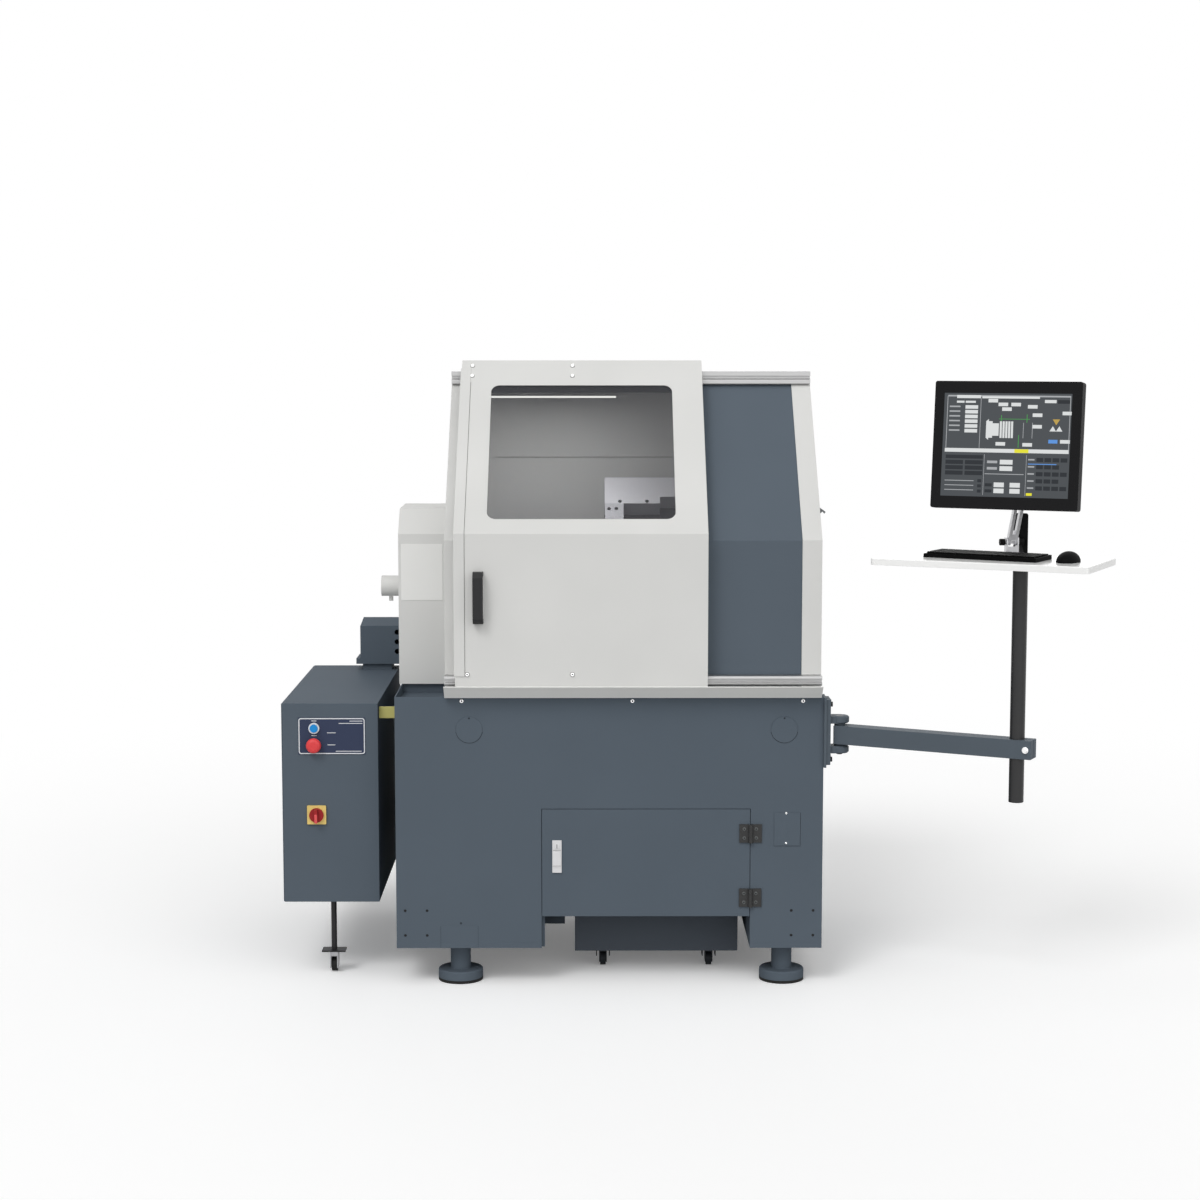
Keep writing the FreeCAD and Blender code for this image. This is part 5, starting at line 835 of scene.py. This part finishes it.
def caster_hoods():
    """Folded hoods over the forks of the tank's four casters."""
    hoods = Shape()
    low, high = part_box("coolant_tank")
    for end in (low.x + CASTER_IN * MM, high.x - CASTER_IN * MM):
        x = (end - stand_low.x) / MM
        for y in CASTER_ROWS:
            near, far = y + HOOD_NEAR, y + HOOD_FAR
            for side in (-HOOD_HALF, HOOD_HALF - HOOD_SHEET):
                hoods.slab(FLOOR, x + side, near, x + side + HOOD_SHEET, far, *HOOD_SIDES)
            hoods.slab(FLOOR, x - HOOD_HALF, near, x + HOOD_HALF, far, *HOOD_ROOF)
    hoods.piece("caster_hoods", "coolant_tank", "black_plastic", caster_grey, eased=0.5)


# ---------------------------------------------------------------- screen
GLASS_SHADES = {
    "light": lit("screen_light", (0.86, 0.87, 0.87)),
    "band": lit("screen_band", (0.66, 0.67, 0.68)),
    "button": lit("screen_button", (0.155, 0.170, 0.190)),
    "green": lit("screen_green", (0.28, 0.62, 0.30)),
    "blue": lit("screen_blue", (0.36, 0.58, 0.86)),
    "yellow": lit("screen_yellow", (0.90, 0.88, 0.20)),
    "gold": lit("screen_gold", (0.74, 0.62, 0.30)),
}

GLASS_GAP = 0.02        # the drawing's foot over the glass, in millimetres
FIELD_TOP = 0.20        # and the top of its fields
MARK_TOP = 0.30         # and of what lies on them
READOUT_WIDE, READOUT_TALL = 0.075, 0.034
READOUTS = ((0.35, 0.055), (0.43, 0.09), (0.53, 0.09), (0.46, 0.135), (0.66, 0.11), (0.70, 0.19),
            (0.70, 0.30), (0.42, 0.47), (0.63, 0.475), (0.93, 0.17), (0.92, 0.44))


class Screen(Shape):
    """A drawing on the screen, in shares of its width and height from its upper left corner."""

    def __init__(self, panel):
        super().__init__()
        out = max(panel.polygons, key=lambda face: -face.normal.y * face.area).normal.copy()
        right = Vector(UP).cross(out).normalized()
        up = out.cross(right)
        spans = []
        for way in (right, up, out):
            reaches = [vertex.co.dot(way) for vertex in panel.vertices]
            spans.append((min(reaches), max(reaches)))
        (left, right_end), (low, top), (_, glass) = spans
        corner = right * left + up * low + out * glass
        turn = Matrix((right, up, out)).transposed().to_4x4()
        self.face = Matrix.Translation(corner) @ turn
        self.wide, self.tall = (right_end - left) / MM, (top - low) / MM
        self.shades = list(GLASS_SHADES)

    def field(self, left, top, right, bottom, shade, lift=FIELD_TOP):
        """A rectangle of one shade."""
        self.slab(self.face, left * self.wide, (1 - bottom) * self.tall,
                  right * self.wide, (1 - top) * self.tall, GLASS_GAP, lift,
                  self.shades.index(shade))

    def mark(self, points, shade):
        """An outline of one shade."""
        outline = [(x * self.wide, (1 - y) * self.tall) for x, y in points]
        self.prism(self.face, outline, GLASS_GAP, MARK_TOP, self.shades.index(shade))


def screen_readouts(screen):
    """The frame's lines, the heading and the bare read-outs in the upper half."""
    screen.field(0.03, 0.02, 0.985, 0.035, "band")
    screen.field(0.025, 0.03, 0.030, 0.53, "band")
    screen.field(0.985, 0.02, 0.990, 0.56, "band")
    screen.field(0.02, 0.535, 0.99, 0.572, "light")
    screen.field(0.57, 0.536, 0.68, 0.571, "yellow", MARK_TOP)
    screen.field(0.10, 0.02, 0.29, 0.05, "light", MARK_TOP)
    screen.field(0.30, 0.03, 0.75, 0.05, "light", MARK_TOP)
    screen.field(0.10, 0.075, 0.16, 0.095, "light")
    screen.field(0.17, 0.075, 0.25, 0.095, "light")
    for index in range(6):
        top = 0.118 + 0.046 * index
        screen.field(0.045, top + 0.006, 0.13, top + 0.020, "band")
        screen.field(0.17, top, 0.27, top + 0.034, "light")
    screen.field(0.29, 0.05, 0.294, 0.53, "band")
    for left, top in READOUTS:
        screen.field(left, top, left + READOUT_WIDE, top + READOUT_TALL, "light")
    screen.field(0.83, 0.44, 0.90, 0.475, "blue")
    screen.field(0.79, 0.06, 0.88, 0.09, "light")
    screen.field(0.89, 0.06, 0.985, 0.095, "button")


def screen_workpiece(screen):
    """A chuck with a turned shaft, the lines of its axes and three arrow heads."""
    screen.field(0.36, 0.27, 0.39, 0.43, "light")
    screen.mark([(0.34, 0.27), (0.36, 0.25), (0.36, 0.45), (0.34, 0.43)], "light")
    screen.field(0.39, 0.29, 0.44, 0.41, "light")
    for index in range(5):
        left = 0.447 + 0.022 * index
        screen.mark([(left, 0.27), (left + 0.016, 0.27), (left + 0.018, 0.43),
                     (left + 0.002, 0.43)], "light")
    screen.field(0.44, 0.245, 0.68, 0.250, "green")
    screen.field(0.455, 0.21, 0.460, 0.29, "green")
    screen.field(0.655, 0.20, 0.660, 0.28, "green")
    screen.field(0.595, 0.40, 0.600, 0.52, "green")
    for x in (0.63, 0.70):
        screen.field(x, 0.28, x + 0.004, 0.43, "band")
    for x in (0.86, 0.91):
        screen.mark([(x - 0.025, 0.36), (x + 0.025, 0.36), (x, 0.31)], "light")
    screen.mark([(0.885, 0.30), (0.857, 0.245), (0.913, 0.245)], "gold")


def screen_buttons(screen):
    """The three blocks of bare buttons in the lower half."""
    screen.field(0.03, 0.60, 0.325, 0.635, "button")
    for row in range(3):
        top = 0.65 + 0.052 * row
        screen.field(0.03, top, 0.17, top + 0.040, "button")
        screen.field(0.185, top, 0.325, top + 0.040, "button")
        screen.field(0.03, 0.845 + 0.045 * row, 0.26, 0.852 + 0.045 * row, "band")
        screen.field(0.29, 0.832 + 0.050 * row, 0.32, 0.862 + 0.050 * row, "button")
    for x in (0.335, 0.665):
        screen.field(x, 0.59, x + 0.003, 0.985, "band")
    for row in range(2):
        screen.field(0.46, 0.64 + 0.062 * row, 0.56, 0.685 + 0.062 * row, "light")
        screen.field(0.36, 0.65 + 0.062 * row, 0.44, 0.675 + 0.062 * row, "band")
        screen.field(0.42, 0.86 + 0.058 * row, 0.50, 0.905 + 0.058 * row, "light")
        screen.field(0.545, 0.86 + 0.058 * row, 0.625, 0.905 + 0.058 * row, "light")
        screen.field(0.35, 0.87 + 0.058 * row, 0.405, 0.90 + 0.058 * row, "button")
    screen.field(0.345, 0.775, 0.65, 0.782, "band")
    for row in range(5):
        top = 0.615 + 0.068 * row
        for column in range(4 if row % 2 == 0 else 3):
            left = 0.745 + 0.062 * column
            screen.field(left, top, left + 0.052, top + 0.040, "button")
        screen.field(0.68, top + 0.012, 0.73, top + 0.026, "band")
    screen.field(0.68, 0.672, 0.90, 0.680, "blue")
    screen.field(0.675, 0.955, 0.72, 0.98, "yellow")


def screen_fields():
    """A generic machine panel: fields, buttons and a turned shaft."""
    screen = Screen(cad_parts["lcd_panel"].data)
    screen_readouts(screen)
    screen_workpiece(screen)
    screen_buttons(screen)
    screen.piece("screen_fields", "monitor", "screen_glass", *GLASS_SHADES.values())


for build in (stand_screws, cover_screws, cover_shadow_lines, foot_bracket, hole_shade_plugs, hinge_screws,
              latch_face, door_screws, strip_shadow_line, headstock_plate, plate_lines, reset_ring,
              switch_plate, zinc_tie, cover_details, wall_seam, junction_box_lid, caster_hoods,
              screen_fields):
    build()


# ---------------------------------------------------------------- room, light and camera
SKY = 0.30          # how bright the room is to everything but the eye, where 1 is white
FLOOR_BOUNCE = 0.6  # how much of the light the floor gives back to the machine
FLOOR_SEEN = 1.19   # brings the floor as the eye sees it, in the open, to white
FLOOR_GLOW = 0.14   # and the share of plain white that it has even in the deepest shadow
FLOOR_REACH = 60                    # half the floor's width, in metres
FLOOR_MIDDLE = (0, 0.5, -0.5 * MM)  # just under the feet
FADE_NEAR, FADE_FAR = 1.4, 4.5      # from here to there it fades into the room, in metres

# the far lamps: where each shines to, what it adds on a surface square to it, and how many
# degrees of the sky it fills. They are a broad light in front, a narrower one from the upper
# left, a low one from the right and a low one behind, which the photograph's view doesn't show.
FAR_LAMPS = {
    "front": ((0, 1, -0.86), 0.38, 110),
    "key": ((0.5, 1, -1.15), 0.27, 22),
    "fill": ((-0.45, 1, -0.35), 0.12, 60),
    "rear": ((0.15, -1, -0.15), 0.17, 50),
}
CABIN_WATTS = 3.3
CABIN_SIZE = (340, 60)
CABIN_PLACE = (430, 500, 1606)      # under the roof

LENS, SENSOR = 70, 36               # in millimetres
CAMERA_PLACE = (542.9, -6336.7, 1776.6)
TILT_DOWN, TURN_RIGHT = 6.285, 0.195    # in degrees


def only_seen(tree, inside, seen):
    """Shows one shader to the eye and to mirrors, and another to the rest of the light."""
    rays = tree.nodes.new("ShaderNodeLightPath")
    either = tree.nodes.new("ShaderNodeMath")
    either.operation = "MAXIMUM"
    any_of = tree.nodes.new("ShaderNodeMath")
    any_of.operation = "MAXIMUM"
    choose = tree.nodes.new("ShaderNodeMixShader")
    tree.links.new(rays.outputs["Is Camera Ray"], either.inputs[0])
    tree.links.new(rays.outputs["Is Glossy Ray"], either.inputs[1])
    tree.links.new(either.outputs[0], any_of.inputs[0])
    tree.links.new(rays.outputs["Is Transmission Ray"], any_of.inputs[1])
    tree.links.new(any_of.outputs[0], choose.inputs["Fac"])
    tree.links.new(inside, choose.inputs[1])
    tree.links.new(seen, choose.inputs[2])
    return choose.outputs[0]


def white_sky():
    """A room that is white to the eye and gives less light than it shows."""
    world = bpy.data.worlds.new("room")
    bpy.context.scene.world = world
    world.use_nodes = True
    tree = world.node_tree
    tree.nodes.clear()
    shades = []
    for strength in (SKY, 1.0):
        shade = tree.nodes.new("ShaderNodeBackground")
        shade.inputs["Color"].default_value = (1, 1, 1, 1)
        shade.inputs["Strength"].default_value = strength
        shades.append(shade.outputs[0])
    out = tree.nodes.new("ShaderNodeOutputWorld")
    tree.links.new(only_seen(tree, *shades), out.inputs["Surface"])


def white_floor():
    """A floor that keeps the shadow and fades into the white room further out."""
    reach = FLOOR_REACH
    data = bpy.data.meshes.new("floor")
    data.from_pydata([(-reach, -reach, 0), (reach, -reach, 0), (reach, reach, 0),
                      (-reach, reach, 0)], [], [(0, 1, 2, 3)])
    floor = bpy.data.objects.new("floor", data)
    bpy.context.scene.collection.objects.link(floor)
    floor.location = FLOOR_MIDDLE
    material = paint("floor_white", (1, 1, 1), roughness=0.9, Specular_IOR_Level=0.0)
    material.node_tree.nodes["Principled BSDF"].inputs["Base Color"].default_value = (
        FLOOR_BOUNCE, FLOOR_BOUNCE, FLOOR_BOUNCE, 1)
    tree = material.node_tree
    matt = tree.nodes["Principled BSDF"].outputs[0]
    bright = tree.nodes.new("ShaderNodeBsdfDiffuse")
    bright.inputs["Color"].default_value = (FLOOR_SEEN, FLOOR_SEEN, FLOOR_SEEN, 1)
    glow = tree.nodes.new("ShaderNodeEmission")
    place = tree.nodes.new("ShaderNodeTexCoord")
    away = tree.nodes.new("ShaderNodeVectorMath")
    away.operation = "LENGTH"
    fade = tree.nodes.new("ShaderNodeMapRange")
    fade.interpolation_type = "SMOOTHSTEP"
    fade.inputs["From Min"].default_value = FADE_NEAR
    fade.inputs["From Max"].default_value = FADE_FAR
    fade.inputs["To Min"].default_value = FLOOR_GLOW
    mix = tree.nodes.new("ShaderNodeMixShader")
    tree.links.new(place.outputs["Object"], away.inputs[0])
    tree.links.new(away.outputs["Value"], fade.inputs["Value"])
    tree.links.new(fade.outputs["Result"], mix.inputs["Fac"])
    tree.links.new(bright.outputs[0], mix.inputs[1])
    tree.links.new(glow.outputs[0], mix.inputs[2])
    out = tree.nodes["Material Output"]
    tree.links.new(only_seen(tree, matt, mix.outputs[0]), out.inputs["Surface"])
    data.materials.append(material)


def far_lamp(name, towards, level, spread):
    """A lamp as wide as spread degrees in the sky, which adds level to a surface square to it."""
    data = bpy.data.lights.new(name, "SUN")
    data.angle = math.radians(spread)
    data.energy = level * math.pi
    made = bpy.data.objects.new(name, data)
    bpy.context.scene.collection.objects.link(made)
    made.rotation_euler = Vector(towards).to_track_quat("-Z", "Y").to_euler()


def cabin_lamp():
    """The working light under the roof, which shines down into the cabin."""
    data = bpy.data.lights.new("cabin", "AREA")
    data.shape = "RECTANGLE"
    data.size, data.size_y = (side * MM for side in CABIN_SIZE)
    data.energy = CABIN_WATTS
    made = bpy.data.objects.new("cabin", data)
    bpy.context.scene.collection.objects.link(made)
    made.location = spot(*CABIN_PLACE)


def camera():
    """The photograph's camera, in front of the stand and a little left of its middle."""
    data = bpy.data.cameras.new("camera")
    data.lens = LENS
    data.sensor_width = SENSOR
    data.sensor_fit = "HORIZONTAL"
    made = bpy.data.objects.new("camera", data)
    bpy.context.scene.collection.objects.link(made)
    made.location = spot(*CAMERA_PLACE)
    made.rotation_euler = (math.radians(90 - TILT_DOWN), 0, math.radians(-TURN_RIGHT))
    bpy.context.scene.camera = made


white_sky()
white_floor()
for name, (towards, level, spread) in FAR_LAMPS.items():
    far_lamp(name, towards, level, spread)
cabin_lamp()
camera()
bpy.context.scene.view_settings.view_transform = "Standard"
